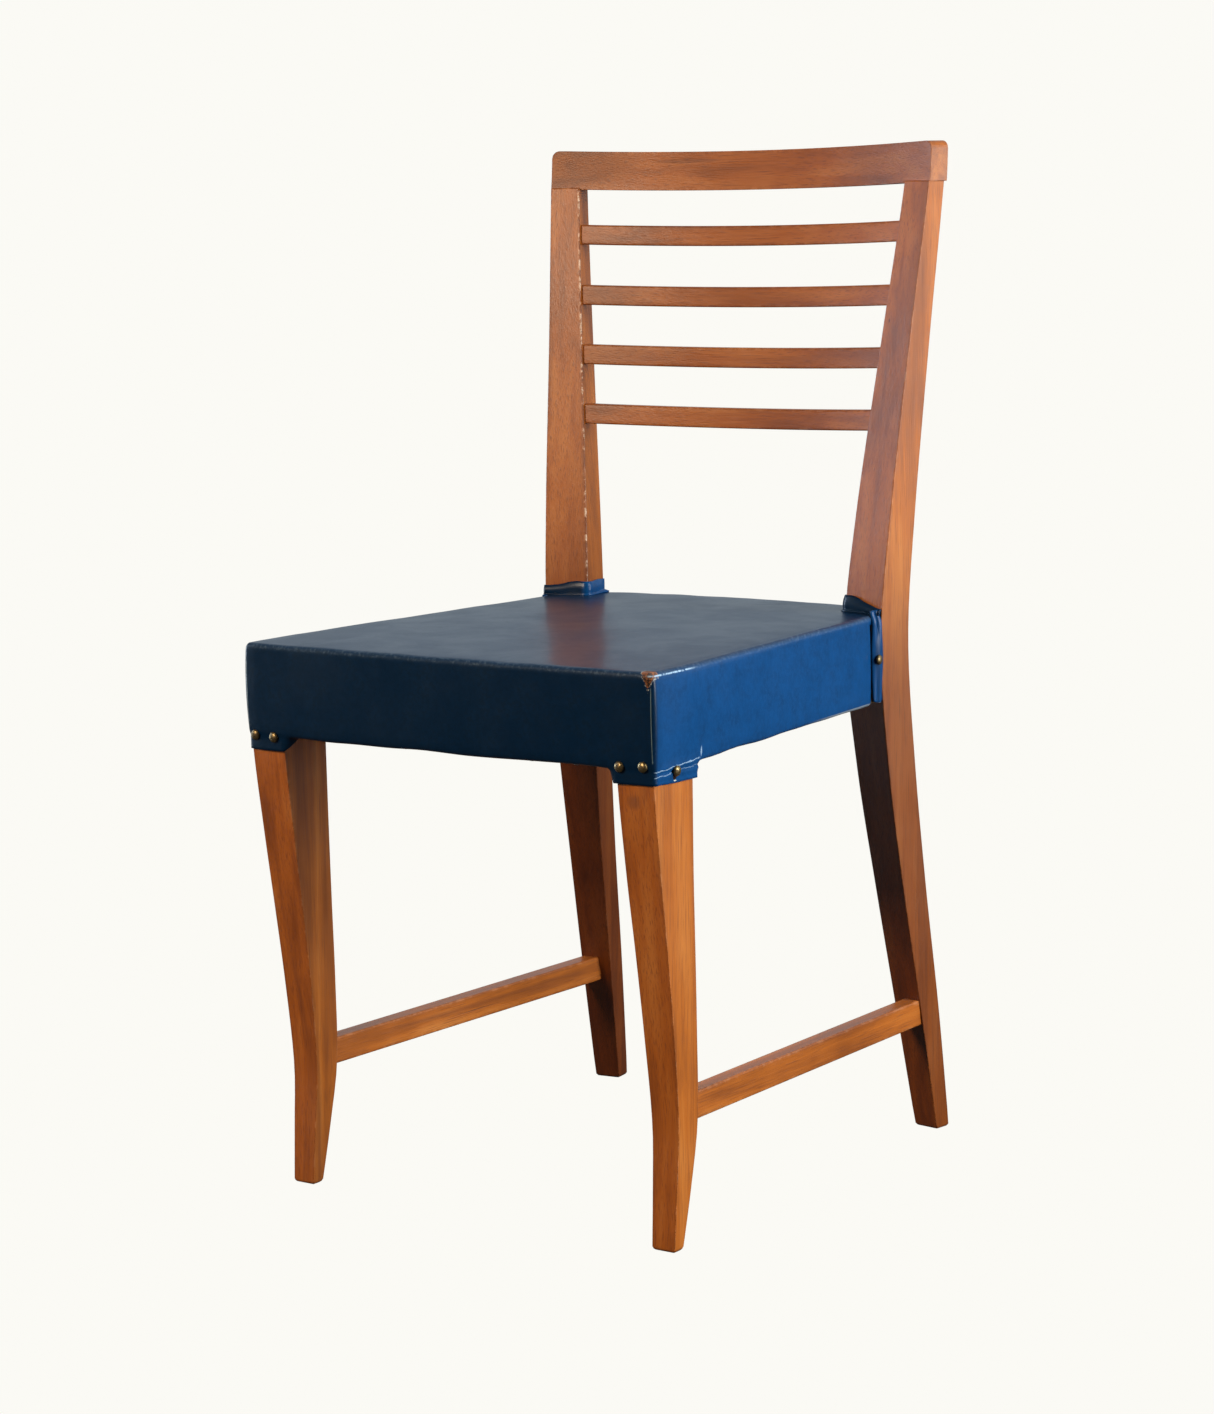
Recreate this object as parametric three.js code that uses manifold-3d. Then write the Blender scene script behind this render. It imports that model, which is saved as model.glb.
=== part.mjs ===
// A wooden side chair with a leather-covered seat, in millimetres, +Z up and +Y to the back.
// It stands on Z = 0 and is symmetrical about X = 0. Right-hand pieces are made first and mirrored.
import * as THREE from 'three';
import { mergeVertices } from 'three/addons/utils/BufferGeometryUtils.js';
import Module from 'manifold-3d';

const wasm = await Module();
wasm.setup();

// Driving dimensions.
const gap = 0.3; // left between pieces that touch
const through = 5; // cuts run past the faces that they open
const leather = 1.8; // thickness of the hide
const seat = {
  top: 462,
  bottom: 386,
  frontY: -215.2, // at the corners
  frontBow: 3.5, // how far the middle of the front stands out
  frontHalfWidth: 204.5,
  straightToY: -163, // the sides run straight back past the front legs, then draw in
  rearHalfWidth: 172.6, // where the sides meet the rear posts
  rearCornerY: 152.6,
  backY: 215.6, // middle of the back edge
  cornerRadius: 5,
  hem: 16, // width of hide turned under the rails
};
const back = {
  radius: 715, // plan curve, hollow towards the sitter
  dip: 0.155, // the curve lies square to the rake, so its middle hangs lower than its ends
};
const board = { thickness: 8, inset: 2.1 };
const padThickness = 3.6;
const rail = { thickness: 22, tenon: 10, tenonDepth: 14, tenonShoulder: 9 };
const crest = { bottom: 824, top: 858, halfWidth: 197.9, thickness: 19.4, setBack: 1 };
const slat = {
  tops: [791.8, 738.4, 685.7, 633.1],
  height: 17.5,
  thickness: 9,
  setBack: 2, // behind the fronts of the posts
  letIn: 8, // depth of each end in its post
};
const stretcher = {
  bottom: 97.8,
  top: 120.3,
  thickness: 16,
  frontOuterX: 190,
  rearOuterX: 180.4,
  tenon: 8,
  tenonDepth: 9,
  tenonShoulder: 3,
  frontY: -172,
  rearY: 226,
};
const cornerBlock = {
  bottom: 400,
  top: 440,
  frontY: -105, // where the front blocks end along the side rails
  frontReach: 63, // and how far they run across from there
  frontToe: { x: 176, y: -150 }, // inside the leg, which is cut out of the block
  frontSideX: 180,
  rearY: 95, // where the rear blocks start along the side rails
  rearEndY: 190,
  rearEndX: 75,
};
// A cuff of hide stands round the front and inner faces of each rear post, and its tail is
// nailed down over the end of the seat side.
const cuff = {
  top: 473,
  tail: { bottom: 389.5, top: 466, frontY: 149.5, rearY: 159.5, standOff: 1.6 },
  nailY: 155.5,
  nailZ: 425.5,
};
const nail = { headRadius: 4.3, headHeight: 2.6, shankRadius: 0.9, shankLength: 13 };
const screw = { headRadius: 3.6, headHeight: 2.4, shankRadius: 1.8, shankLength: 34 };
const dowel = { radius: 4, halfLength: 16 };

// Front leg, from the floor to the board: a near straight taper seen from the front, and a sabre
// curve with a forward-kicked foot seen from the side.
const frontLeg = {
  heights: [0, 50, 100, 170, 240, 300, 378, 410, 447],
  frontY: [-189, -185.2, -182, -187.6, -196, -204, -213, -213, -213],
  rearY: [-177, -164.9, -155.7, -156.2, -158.2, -159.8, -160.4, -160.4, -160.4],
  outerX: [195.4, 196.3, 197.1, 198.5, 199.9, 200.8, 202, 202, 202],
  innerX: [173.9, 173, 171.6, 169.9, 169, 168.1, 167.7, 167.7, 167.7],
};

// Rear post, from the floor to the top of the crest rail that it carries. Width runs along its front face, which is turned
// in by `toeIn` degrees; depth runs at right angles to it.
const rearPost = {
  heights: [0, 110, 220, 330, 440, 540, 690, 824, 858],
  outerX: [185, 182.3, 178.5, 176, 176.4, 180.9, 188.8, 197.5, 198.2],
  frontY: [231, 210.6, 190, 171.7, 160.3, 169.5, 191.3, 211.7, 214.7],
  width: [24.6, 29.3, 32.8, 38, 42.2, 40.1, 32.6, 28, 28],
  depth: [17, 24, 29.4, 33.8, 35, 31.4, 25.5, 19.2, 19.2],
  toeIn: [8, 9, 10, 11, 11, 11, 11, 11, 11],
};

const colours = {
  wood: new THREE.MeshStandardMaterial({ color: 0xa35a2a, roughness: 0.38, metalness: 0 }),
  hiddenWood: new THREE.MeshStandardMaterial({ color: 0xb98b5a, roughness: 0.8, metalness: 0 }),
  hide: new THREE.MeshStandardMaterial({ color: 0x173a66, roughness: 0.35, metalness: 0 }),
  wadding: new THREE.MeshStandardMaterial({ color: 0xd8d0bd, roughness: 1, metalness: 0 }),
  brass: new THREE.MeshStandardMaterial({ color: 0x9a7a45, roughness: 0.4, metalness: 1 }),
  steel: new THREE.MeshStandardMaterial({ color: 0x8d8f92, roughness: 0.45, metalness: 1 }),
};

// Solids.
function solidOf(geometry) {
  const bare = geometry.clone();
  bare.deleteAttribute('normal');
  bare.deleteAttribute('uv');
  const merged = mergeVertices(bare, 1e-4);
  return new wasm.Manifold(
    new wasm.Mesh({
      numProp: 3,
      vertProperties: new Float32Array(merged.attributes.position.array),
      triVerts: new Uint32Array(merged.index.array),
    }),
  );
}

function geometryOf(solid) {
  const mesh = solid.getMesh();
  const geometry = new THREE.BufferGeometry();
  geometry.setAttribute('position', new THREE.BufferAttribute(mesh.vertProperties, 3));
  geometry.setIndex(new THREE.BufferAttribute(mesh.triVerts, 1));
  geometry.computeVertexNormals();
  return geometry;
}

function mirrored(geometry) {
  const copy = geometry.clone();
  copy.scale(-1, 1, 1);
  const index = copy.index.array;
  for (let i = 0; i < index.length; i += 3) {
    [index[i], index[i + 1]] = [index[i + 1], index[i]];
  }
  return copy;
}

// A box whose corners are moved to their places: u and v run from 0 to 1 over its section
// and w from 0 to 1 over its length.
function bar(steps, place) {
  const box = new THREE.BoxGeometry(1, 1, 1, 1, 1, steps);
  box.translate(0.5, 0.5, 0.5);
  const corners = box.attributes.position;
  for (let i = 0; i < corners.count; i += 1) {
    corners.setXYZ(i, ...place(corners.getX(i), corners.getY(i), corners.getZ(i)));
  }
  return solidOf(box);
}

// A straight plank between two points in plan, `thickness` wide about the line between them.
function plank(from, to, thickness, bottom, top) {
  const along = to.clone().sub(from);
  const box = new THREE.BoxGeometry(along.length(), thickness, top - bottom);
  box.rotateZ(along.angle());
  const middle = from.clone().add(to).multiplyScalar(0.5);
  box.translate(middle.x, middle.y, (bottom + top) / 2);
  return solidOf(box);
}

function block(low, high) {
  const box = new THREE.BoxGeometry(high[0] - low[0], high[1] - low[1], high[2] - low[2]);
  box.translate((low[0] + high[0]) / 2, (low[1] + high[1]) / 2, (low[2] + high[2]) / 2);
  return solidOf(box);
}

// A turned piece: points of [radius, height], stood on `at` and pointed along `direction`.
function turned(profile, sides, at, direction) {
  const lathe = new THREE.LatheGeometry(profile.map(([r, h]) => new THREE.Vector2(r, h)), sides);
  const up = new THREE.Vector3(0, 1, 0);
  lathe.applyQuaternion(new THREE.Quaternion().setFromUnitVectors(up, direction));
  lathe.translate(at.x, at.y, at.z);
  return solidOf(lathe);
}

const lerp = (a, b, t) => a + (b - a) * t;

// A smooth curve through the values of a table, read at any height.
function readAt(heights, values, z) {
  const last = heights.length - 1;
  let i = 0;
  while (i < last - 1 && z > heights[i + 1]) i += 1;
  const slope = (k) => {
    const before = Math.max(k - 1, 0);
    const after = Math.min(k + 1, last);
    return (values[after] - values[before]) / (heights[after] - heights[before]);
  };
  const span = heights[i + 1] - heights[i];
  const t = (z - heights[i]) / span;
  if (t < 0) return values[i] + slope(i) * t * span;
  if (t > 1) return values[i + 1] + slope(i + 1) * (t - 1) * span;
  const t2 = t * t;
  const t3 = t2 * t;
  return (
    values[i] * (2 * t3 - 3 * t2 + 1) +
    values[i + 1] * (3 * t2 - 2 * t3) +
    span * (slope(i) * (t3 - 2 * t2 + t) + slope(i + 1) * (t3 - t2))
  );
}

// Part of the front leg between two heights, its four faces moved out by the margins.
function legBlock(bottom, top, out) {
  const steps = Math.max(1, Math.round((top - bottom) / 18));
  return bar(steps, (u, v, w) => {
    const z = lerp(bottom, top, w);
    const read = (name) => readAt(frontLeg.heights, frontLeg[name], z);
    const outerX = read('outerX') + out.outer;
    const innerX = read('innerX') - out.inner;
    const frontY = read('frontY') - out.front;
    const rearY = read('rearY') + out.rear;
    return [lerp(innerX, outerX, u), lerp(frontY, rearY, v), z];
  });
}

function postSection(z) {
  const read = (name) => readAt(rearPost.heights, rearPost[name], z);
  return {
    corner: new THREE.Vector2(read('outerX'), read('frontY')),
    width: read('width'),
    depth: read('depth'),
    toeIn: THREE.MathUtils.degToRad(read('toeIn')),
  };
}

// Part of the rear post between two heights. `fromOuter` to `toInner` is measured along the
// front face from its outer edge, and `fromFront` to `toRear` back from that face.
function postBlock(bottom, top, limits) {
  const steps = Math.max(1, Math.round((top - bottom) / 20));
  return bar(steps, (u, v, w) => {
    const z = lerp(bottom, top, w);
    const { corner, width, depth, toeIn } = postSection(z);
    const [fromOuter, toInner, fromFront, toRear] = limits(width, depth);
    const across = lerp(toInner, fromOuter, u);
    const back = lerp(fromFront, toRear, v);
    return [
      corner.x - across * Math.cos(toeIn) + back * Math.sin(toeIn),
      corner.y + across * Math.sin(toeIn) + back * Math.cos(toeIn),
      z,
    ];
  });
}

const grownLeg = (bottom, top, by) =>
  legBlock(bottom, top, { outer: by, inner: by, front: by, rear: by });
const grownPost = (bottom, top, by) =>
  postBlock(bottom, top, (width, depth) => [-by, width + by, -by, depth + by]);

// How far the curve of the back has gone at x, from where it is at `halfWidth`.
const hollow = (x, halfWidth) => (halfWidth ** 2 - x ** 2) / (2 * back.radius);

// The curved surface of the back at a height, `behind` the fronts of the posts.
function backY(x, z, behind) {
  const { corner } = postSection(z);
  return corner.y + hollow(x, corner.x) + behind;
}

function curvedBar(halfWidth, bottom, top, front, thickness, steps) {
  return bar(steps, (u, v, w) => {
    const x = lerp(halfWidth, -halfWidth, w);
    const z = lerp(bottom, top, u);
    const lower = back.dip * hollow(x, halfWidth);
    return [x, backY(x, z, lerp(front, front + thickness, v)), z - lower];
  });
}

const sideSlope =
  (seat.frontHalfWidth - seat.rearHalfWidth) / (seat.rearCornerY - seat.straightToY);

// Where the outer face of a seat side runs, behind the front legs.
const sideX = (y, inset) =>
  seat.frontHalfWidth - inset - sideSlope * (y - seat.straightToY);

// Plan of the seat, its edges moved in by `inset`.
function seatPlan(inset) {
  const front = seat.frontY + inset;
  const frontX = seat.frontHalfWidth - inset;
  const radius = Math.max(seat.cornerRadius - inset, 1);
  const insidePostY = 178; // the sides end inside the posts, and so does the back edge
  const insidePostX = sideX(insidePostY, inset);
  const backHalf = 144;
  const backEndY = seat.backY - inset - backHalf ** 2 / (2 * back.radius);
  const outline = new THREE.Shape();
  outline.moveTo(radius - frontX, front);
  outline.quadraticCurveTo(0, front - 2 * seat.frontBow, frontX - radius, front);
  outline.quadraticCurveTo(frontX, front, frontX, front + radius);
  outline.lineTo(frontX, seat.straightToY);
  outline.lineTo(insidePostX, insidePostY);
  outline.lineTo(backHalf, backEndY);
  outline.quadraticCurveTo(0, 2 * (seat.backY - inset) - backEndY, -backHalf, backEndY);
  outline.lineTo(-insidePostX, insidePostY);
  outline.lineTo(-frontX, seat.straightToY);
  outline.lineTo(-frontX, front + radius);
  outline.quadraticCurveTo(-frontX, front, radius - frontX, front);
  return outline;
}

function seatSlab(inset, bottom, top) {
  const options = { depth: top - bottom, bevelEnabled: false, curveSegments: 8 };
  const slab = new THREE.ExtrudeGeometry(seatPlan(inset), options);
  slab.translate(0, 0, bottom);
  return solidOf(slab);
}

const meshes = [];

function addMesh(name, geometry, material) {
  const mesh = new THREE.Mesh(geometry, material);
  mesh.name = name;
  meshes.push(mesh);
}

function addOne(name, solid, material) {
  addMesh(name, geometryOf(solid), material);
}

function addPair(name, solid, material) {
  const right = geometryOf(solid);
  addMesh(`${name}_right`, right, material);
  addMesh(`${name}_left`, mirrored(right), material);
}

const bothSides = (solid) => solid.add(solidOf(mirrored(geometryOf(solid))));

// Levels through the seat, from the hide down.
const padTop = seat.top - leather - gap;
const boardTop = padTop - padThickness - gap;
const railTop = boardTop - board.thickness - gap;
const railBottom = seat.bottom + leather + gap;
const railInset = leather + gap;

// Brass nails: three hold the cover to each front leg, and one holds the tail of each cuff.
const nailSides = 12;
const nailProfile = [
  [0, -nail.shankLength],
  [nail.shankRadius, -nail.shankLength + 3],
  [nail.shankRadius, gap],
  [nail.headRadius, gap],
  [nail.headRadius * 0.86, nail.headHeight * 0.55],
  [nail.headRadius * 0.5, nail.headHeight * 0.9],
  [0, nail.headHeight],
];
const outward = new THREE.Vector3(1, 0, 0);
const forward = new THREE.Vector3(0, -1, 0);
const legTop = {
  outerX: frontLeg.outerX.at(-1),
  innerX: frontLeg.innerX.at(-1),
  frontY: frontLeg.frontY.at(-1),
  rearY: frontLeg.rearY.at(-1),
};
const tailX = (y) => sideX(y, -cuff.tail.standOff - leather / 2);
const frontFaceY = (x) => seat.frontY - seat.frontBow * (1 - (x / seat.frontHalfWidth) ** 2);
const onFront = (x, z) => ({ at: new THREE.Vector3(x, frontFaceY(x), z), facing: forward });
const nailPlaces = {
  leg_nail_front_outer: onFront(194.5, 388),
  leg_nail_front_inner: onFront(173.5, 387),
  leg_nail_side: { at: new THREE.Vector3(seat.frontHalfWidth, -187, 384), facing: outward },
  cuff_nail: {
    at: new THREE.Vector3(tailX(cuff.nailY) + leather / 2, cuff.nailY, cuff.nailZ),
    facing: new THREE.Vector3(1, sideSlope, 0).normalize(),
  },
};

function shankHole({ at, facing }, radius, from, to) {
  const profile = [[0, from], [radius, from], [radius, to], [0, to]];
  return turned(profile, 8, at, facing);
}

const nailHoles = Object.values(nailPlaces)
  .map((place) => shankHole(place, nail.shankRadius + gap, -nail.shankLength - 1, 1))
  .reduce((all, hole) => all.add(hole));

// Seat rails with a tenon at each end. Shoulders are cut to the legs and posts they meet.
const point = (x, y) => new THREE.Vector2(x, y);
const railMiddleX = (y) => sideX(y, railInset + rail.thickness / 2);
const sideRail = { front: point(railMiddleX(-186), -186), rear: point(railMiddleX(178), 178) };
const frontRailY = legTop.frontY + rail.thickness / 2;
const tenonBottom = railBottom + rail.tenonShoulder;
const tenonTop = railTop - rail.tenonShoulder;

function sideRailTenon(by) {
  const along = sideRail.rear.clone().sub(sideRail.front).normalize();
  const from = sideRail.front.clone().setY(legTop.rearY - rail.tenonDepth - by);
  const to = sideRail.rear.clone().addScaledVector(along, -6 + by);
  return plank(from, to, rail.tenon + 2 * by, tenonBottom - by, tenonTop + by);
}

function frontRailTenon(by) {
  const half = legTop.innerX + rail.tenonDepth + by;
  const thickness = rail.tenon + 2 * by;
  return plank(point(-half, frontRailY), point(half, frontRailY), thickness,
    tenonBottom - by, tenonTop + by);
}

// A curved rail between the posts, following the back edge of the seat.
function rearRailSolid(halfWidth, inset, thickness, bottom, top) {
  return bar(16, (u, v, w) => {
    const x = lerp(halfWidth, -halfWidth, w);
    const front = seat.backY - railInset - inset - thickness + hollow(x, 0);
    return [x, front + thickness * v, lerp(bottom, top, u)];
  });
}

const rearTenonInset = (rail.thickness - rail.tenon) / 2;
const rearTenonHalf = 152;
const rearRailTenon = (by) =>
  rearRailSolid(rearTenonHalf + by, rearTenonInset - by, rail.tenon + 2 * by,
    tenonBottom - by, tenonTop + by);

// Side stretchers, with a tenon into the back of the front leg and the front of the post.
const stretcherMiddleX = (outer) => outer - stretcher.thickness / 2;
const stretcherLine = {
  front: point(stretcherMiddleX(stretcher.frontOuterX), stretcher.frontY),
  rear: point(stretcherMiddleX(stretcher.rearOuterX), stretcher.rearY),
};
const stretcherMiddle = (stretcher.bottom + stretcher.top) / 2;
const legFaceAtStretcher = readAt(frontLeg.heights, frontLeg.rearY, stretcherMiddle);
const postFaceAtStretcher = postSection(stretcherMiddle).corner.y;

function stretcherTenon(by) {
  const line = stretcherLine.rear.clone().sub(stretcherLine.front);
  const atY = (y) =>
    stretcherLine.front.clone().addScaledVector(line, (y - stretcherLine.front.y) / line.y);
  return plank(
    atY(legFaceAtStretcher - stretcher.tenonDepth - by),
    atY(postFaceAtStretcher + stretcher.tenonDepth + by),
    stretcher.tenon + 2 * by,
    stretcher.bottom + stretcher.tenonShoulder - by,
    stretcher.top - stretcher.tenonShoulder + by,
  );
}

// Slats are let whole into the inner faces of the posts.
const slatSolid = (top, by) => {
  const middle = postSection(top - slat.height / 2);
  const innerX = middle.corner.x - middle.width * Math.cos(middle.toeIn);
  return curvedBar(innerX + slat.letIn + by, top - slat.height - by, top + by,
    slat.setBack - by, slat.thickness + 2 * by, 16);
};

// A dowel pins each end of the crest rail to its post.
const postTop = postSection(crest.bottom);
const dowelAt = new THREE.Vector3(
  postTop.corner.x - (postTop.width / 2) * Math.cos(postTop.toeIn) + postTop.depth / 2 *
    Math.sin(postTop.toeIn),
  postTop.corner.y + (postTop.width / 2) * Math.sin(postTop.toeIn) + postTop.depth / 2 *
    Math.cos(postTop.toeIn),
  crest.bottom,
);

function dowelSolid(by) {
  const half = dowel.halfLength + by;
  const radius = dowel.radius + by;
  const profile = [[0, -half], [radius, -half], [radius, half], [0, half]];
  return turned(profile, 12, dowelAt, new THREE.Vector3(0, 0, 1));
}

// Corner blocks, as plan outlines that the legs and posts are then cut from, and their screws.
const railInnerX = (y) => sideX(y, railInset + rail.thickness + gap);
const frontRailBackY = frontRailY + rail.thickness / 2 + gap;
const postAtRails = postSection(cornerBlock.top);
const postInnerCorner = point(
  postAtRails.corner.x - postAtRails.width * Math.cos(postAtRails.toeIn),
  postAtRails.corner.y + postAtRails.width * Math.sin(postAtRails.toeIn),
);
const cornerBlocks = {
  front: {
    corners: [
      point(railInnerX(cornerBlock.frontY) - cornerBlock.frontReach, frontRailBackY),
      point(cornerBlock.frontSideX, frontRailBackY),
      point(cornerBlock.frontToe.x, cornerBlock.frontToe.y),
      point(railInnerX(cornerBlock.frontY), cornerBlock.frontY),
    ],
    corner: point(legTop.innerX, legTop.rearY),
  },
  rear: {
    corners: [
      point(railInnerX(cornerBlock.rearY), cornerBlock.rearY),
      point(railInnerX(cornerBlock.rearEndY), cornerBlock.rearEndY),
      point(cornerBlock.rearEndX, cornerBlock.rearEndY),
    ],
    corner: postInnerCorner,
  },
};

// A screw runs square through the face of each block into the corner of the leg or post.
function screwPlace({ corners, corner }) {
  const from = corners[0];
  const face = corners.at(-1).clone().sub(from).normalize();
  const foot = from.clone().addScaledVector(face, corner.clone().sub(from).dot(face));
  const inward = foot.clone().sub(corner).normalize();
  return {
    at: new THREE.Vector3(foot.x, foot.y, (cornerBlock.bottom + cornerBlock.top) / 2),
    facing: new THREE.Vector3(inward.x, inward.y, 0),
  };
}

const screwProfile = [
  [0, -screw.shankLength],
  [screw.shankRadius, -screw.shankLength + 5],
  [screw.shankRadius, gap],
  [screw.headRadius, gap],
  [screw.headRadius * 0.8, screw.headHeight],
  [0, screw.headHeight],
];
const screwPlaces = Object.fromEntries(
  Object.entries(cornerBlocks).map(([end, spec]) => [end, screwPlace(spec)]),
);
const screwHole = (place) =>
  shankHole(place, screw.shankRadius + gap, -screw.shankLength - 1, 1);

// Crest rail on top of the posts, its ends cut square to its curve. The space for it is taken
// `under` it and wide `around` it.
function crestSolid(under, around) {
  return bar(20, (u, v, w) => {
    const frontX = (crest.halfWidth + around) * lerp(1, -1, w);
    const behind = lerp(-around, crest.thickness + around, v);
    const z = lerp(crest.bottom - under, crest.top, u);
    const turn = frontX / back.radius;
    const y = backY(frontX, z, crest.setBack + behind * Math.cos(turn));
    return [frontX + behind * turn, y, z - back.dip * hollow(frontX, crest.halfWidth)];
  });
}

// Front legs and rear posts, with their mortises and holes.
const stretcherMortise = stretcherTenon(gap);
const frontLegSolid = legBlock(0, railTop, { outer: 0, inner: 0, front: 0, rear: 0 })
  .subtract(sideRailTenon(gap))
  .subtract(frontRailTenon(gap))
  .subtract(stretcherMortise)
  .subtract(screwHole(screwPlaces.front))
  .subtract(nailHoles);
addPair('front_leg', frontLegSolid, colours.wood);

let postSolid = grownPost(0, crest.bottom, 0)
  .subtract(crestSolid(gap, through))
  .subtract(sideRailTenon(gap))
  .subtract(rearRailTenon(gap))
  .subtract(stretcherMortise)
  .subtract(screwHole(screwPlaces.rear))
  .subtract(dowelSolid(gap));
for (const top of slat.tops) postSolid = postSolid.subtract(slatSolid(top, gap));
addPair('rear_post', postSolid, colours.wood);

addOne('crest_rail', crestSolid(0, 0).subtract(bothSides(dowelSolid(gap))), colours.wood);
addPair('crest_dowel', dowelSolid(0), colours.hiddenWood);

slat.tops.forEach((top, i) => addOne(`back_slat_${i + 1}`, slatSolid(top, 0), colours.wood));

// The part of a right-hand solid between two depths.
const between = (solid, fromY, toY) =>
  solid.intersect(block([0, fromY, 0], [seat.frontHalfWidth, toY, crest.top]));

const stretcherBlank = plank(
  stretcherLine.front,
  stretcherLine.rear,
  stretcher.thickness,
  stretcher.bottom,
  stretcher.top,
)
  .subtract(grownLeg(0, railTop, gap))
  .subtract(grownPost(0, railTop, gap));
const stretcherSolid = between(
  stretcherBlank,
  legFaceAtStretcher - stretcher.tenonDepth,
  postFaceAtStretcher + stretcher.tenonDepth,
).add(stretcherTenon(0));
addPair('side_stretcher', stretcherSolid, colours.wood);

// Seat frame: rails, corner blocks with their screws, and the board on top.
const legSpace = grownLeg(0, railTop + gap, gap);
const bothLegs = bothSides(legSpace);
const seatZone = { bottom: 300, top: 520 }; // heights that hold the whole seat
const postSpace = grownPost(seatZone.bottom, seatZone.top, gap);
const bothPosts = bothSides(postSpace);
const shoulderSpare = 4; // run past the shoulders, which are then cut to the legs
const frontRailHalf = legTop.innerX + shoulderSpare;
const frontRail = plank(
  point(-frontRailHalf, frontRailY),
  point(frontRailHalf, frontRailY),
  rail.thickness,
  railBottom,
  railTop,
);
addOne('front_rail', frontRail.subtract(bothLegs).add(frontRailTenon(0)), colours.hiddenWood);

const rearRail = (by) =>
  rearRailSolid(rearTenonHalf, -by, rail.thickness + 2 * by, railBottom - by, railTop + by);
addOne('rear_rail', rearRail(0).subtract(bothPosts).add(rearRailTenon(0)), colours.hiddenWood);

const sideRailBlank = plank(sideRail.front, sideRail.rear, rail.thickness, railBottom, railTop)
  .subtract(legSpace)
  .subtract(postSpace);
const sideRailSolid = between(sideRailBlank, legTop.rearY, postInnerCorner.y)
  .add(sideRailTenon(0))
  .subtract(nailHoles);
addPair('side_rail', sideRailSolid, colours.hiddenWood);

function triangle(corners) {
  const shape = new THREE.Shape(corners);
  const options = { depth: cornerBlock.top - cornerBlock.bottom, bevelEnabled: false };
  const prism = new THREE.ExtrudeGeometry(shape, options);
  prism.translate(0, 0, cornerBlock.bottom);
  return solidOf(prism);
}

for (const [end, { corners }] of Object.entries(cornerBlocks)) {
  const place = screwPlaces[end];
  const blockSolid = triangle(corners)
    .subtract(legSpace)
    .subtract(postSpace)
    .subtract(rearRail(gap))
    .subtract(screwHole(place));
  addPair(`${end}_corner_block`, blockSolid, colours.hiddenWood);
  const screwSolid = turned(screwProfile, 10, place.at, place.facing);
  addPair(`${end}_block_screw`, screwSolid, colours.steel);
}

addOne(
  'seat_board',
  seatSlab(board.inset, boardTop - board.thickness, boardTop).subtract(bothPosts),
  colours.hiddenWood,
);
addOne('seat_pad', seatSlab(board.inset, boardTop + gap, padTop).subtract(bothPosts), colours.wadding);

// The hide: a tray over the seat, turned under the rails, with a lip down each front leg.
const lip = { bottom: 374.5, top: seat.bottom + leather };
const outside = gap + leather;
const lipShell = legBlock(lip.bottom, lip.top, {
  outer: outside,
  inner: 0,
  front: outside,
  rear: 0,
}).subtract(
  legBlock(lip.bottom - through, lip.top + through, {
    outer: gap,
    inner: through,
    front: gap,
    rear: through,
  }),
);
const cover = seatSlab(0, seat.bottom, seat.top)
  .subtract(seatSlab(leather, seat.bottom + leather, seat.top - leather))
  .subtract(seatSlab(seat.hem, seat.bottom - through, seat.bottom + leather + through))
  .subtract(bothLegs)
  .add(bothSides(lipShell))
  .subtract(bothPosts)
  .subtract(bothSides(nailHoles));
addOne('seat_cover', cover, colours.hide);

// The cuffs.
const cuffBase = seat.top + gap;
const { tail } = cuff;
const cuffTail = plank(
  point(tailX(tail.frontY), tail.frontY),
  point(tailX(tail.rearY), tail.rearY),
  leather,
  tail.bottom,
  tail.top,
).subtract(postSpace);
const cuffSolid = postBlock(cuffBase, cuff.top, (width) => [
  -outside,
  width + outside,
  -outside,
  -gap,
])
  .add(postBlock(cuffBase, cuff.top, (width, depth) => [
    width + gap,
    width + outside,
    -outside,
    depth,
  ]))
  .add(cuffTail)
  .subtract(nailHoles);
addPair('post_cuff', cuffSolid, colours.hide);

for (const [name, place] of Object.entries(nailPlaces)) {
  addPair(name, turned(nailProfile, nailSides, place.at, place.facing), colours.brass);
}

// The whole chair, centred front to back over its own footprint.
const chair = new THREE.Group();
chair.name = 'side_chair';
chair.add(...meshes);
const extent = new THREE.Box3().setFromObject(chair);
chair.position.y = -(extent.min.y + extent.max.y) / 2;

export default chair;
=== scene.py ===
import math

import bmesh
import bpy
from mathutils import Matrix, Vector, noise


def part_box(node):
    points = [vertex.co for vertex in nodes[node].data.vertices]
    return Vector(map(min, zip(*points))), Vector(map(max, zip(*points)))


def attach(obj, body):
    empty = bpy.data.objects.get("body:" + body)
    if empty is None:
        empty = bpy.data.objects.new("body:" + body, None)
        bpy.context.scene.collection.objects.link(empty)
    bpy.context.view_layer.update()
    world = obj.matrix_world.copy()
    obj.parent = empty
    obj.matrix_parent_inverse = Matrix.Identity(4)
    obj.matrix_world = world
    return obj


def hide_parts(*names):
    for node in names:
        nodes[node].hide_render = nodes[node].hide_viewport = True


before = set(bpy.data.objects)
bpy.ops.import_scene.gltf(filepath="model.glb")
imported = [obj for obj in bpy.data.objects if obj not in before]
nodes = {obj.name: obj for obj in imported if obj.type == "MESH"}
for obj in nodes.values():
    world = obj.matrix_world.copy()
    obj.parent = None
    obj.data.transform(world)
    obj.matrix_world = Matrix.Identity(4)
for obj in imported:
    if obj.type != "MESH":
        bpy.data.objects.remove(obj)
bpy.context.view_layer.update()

mm = 0.001

# Depths below are measured from a line through the seat, and the frame's from the chair's middle.
frontRailFace = -213 * mm
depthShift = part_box("front_rail")[0].y - frontRailFace


def lerp(a, b, t):
    return a + (b - a) * t


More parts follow.
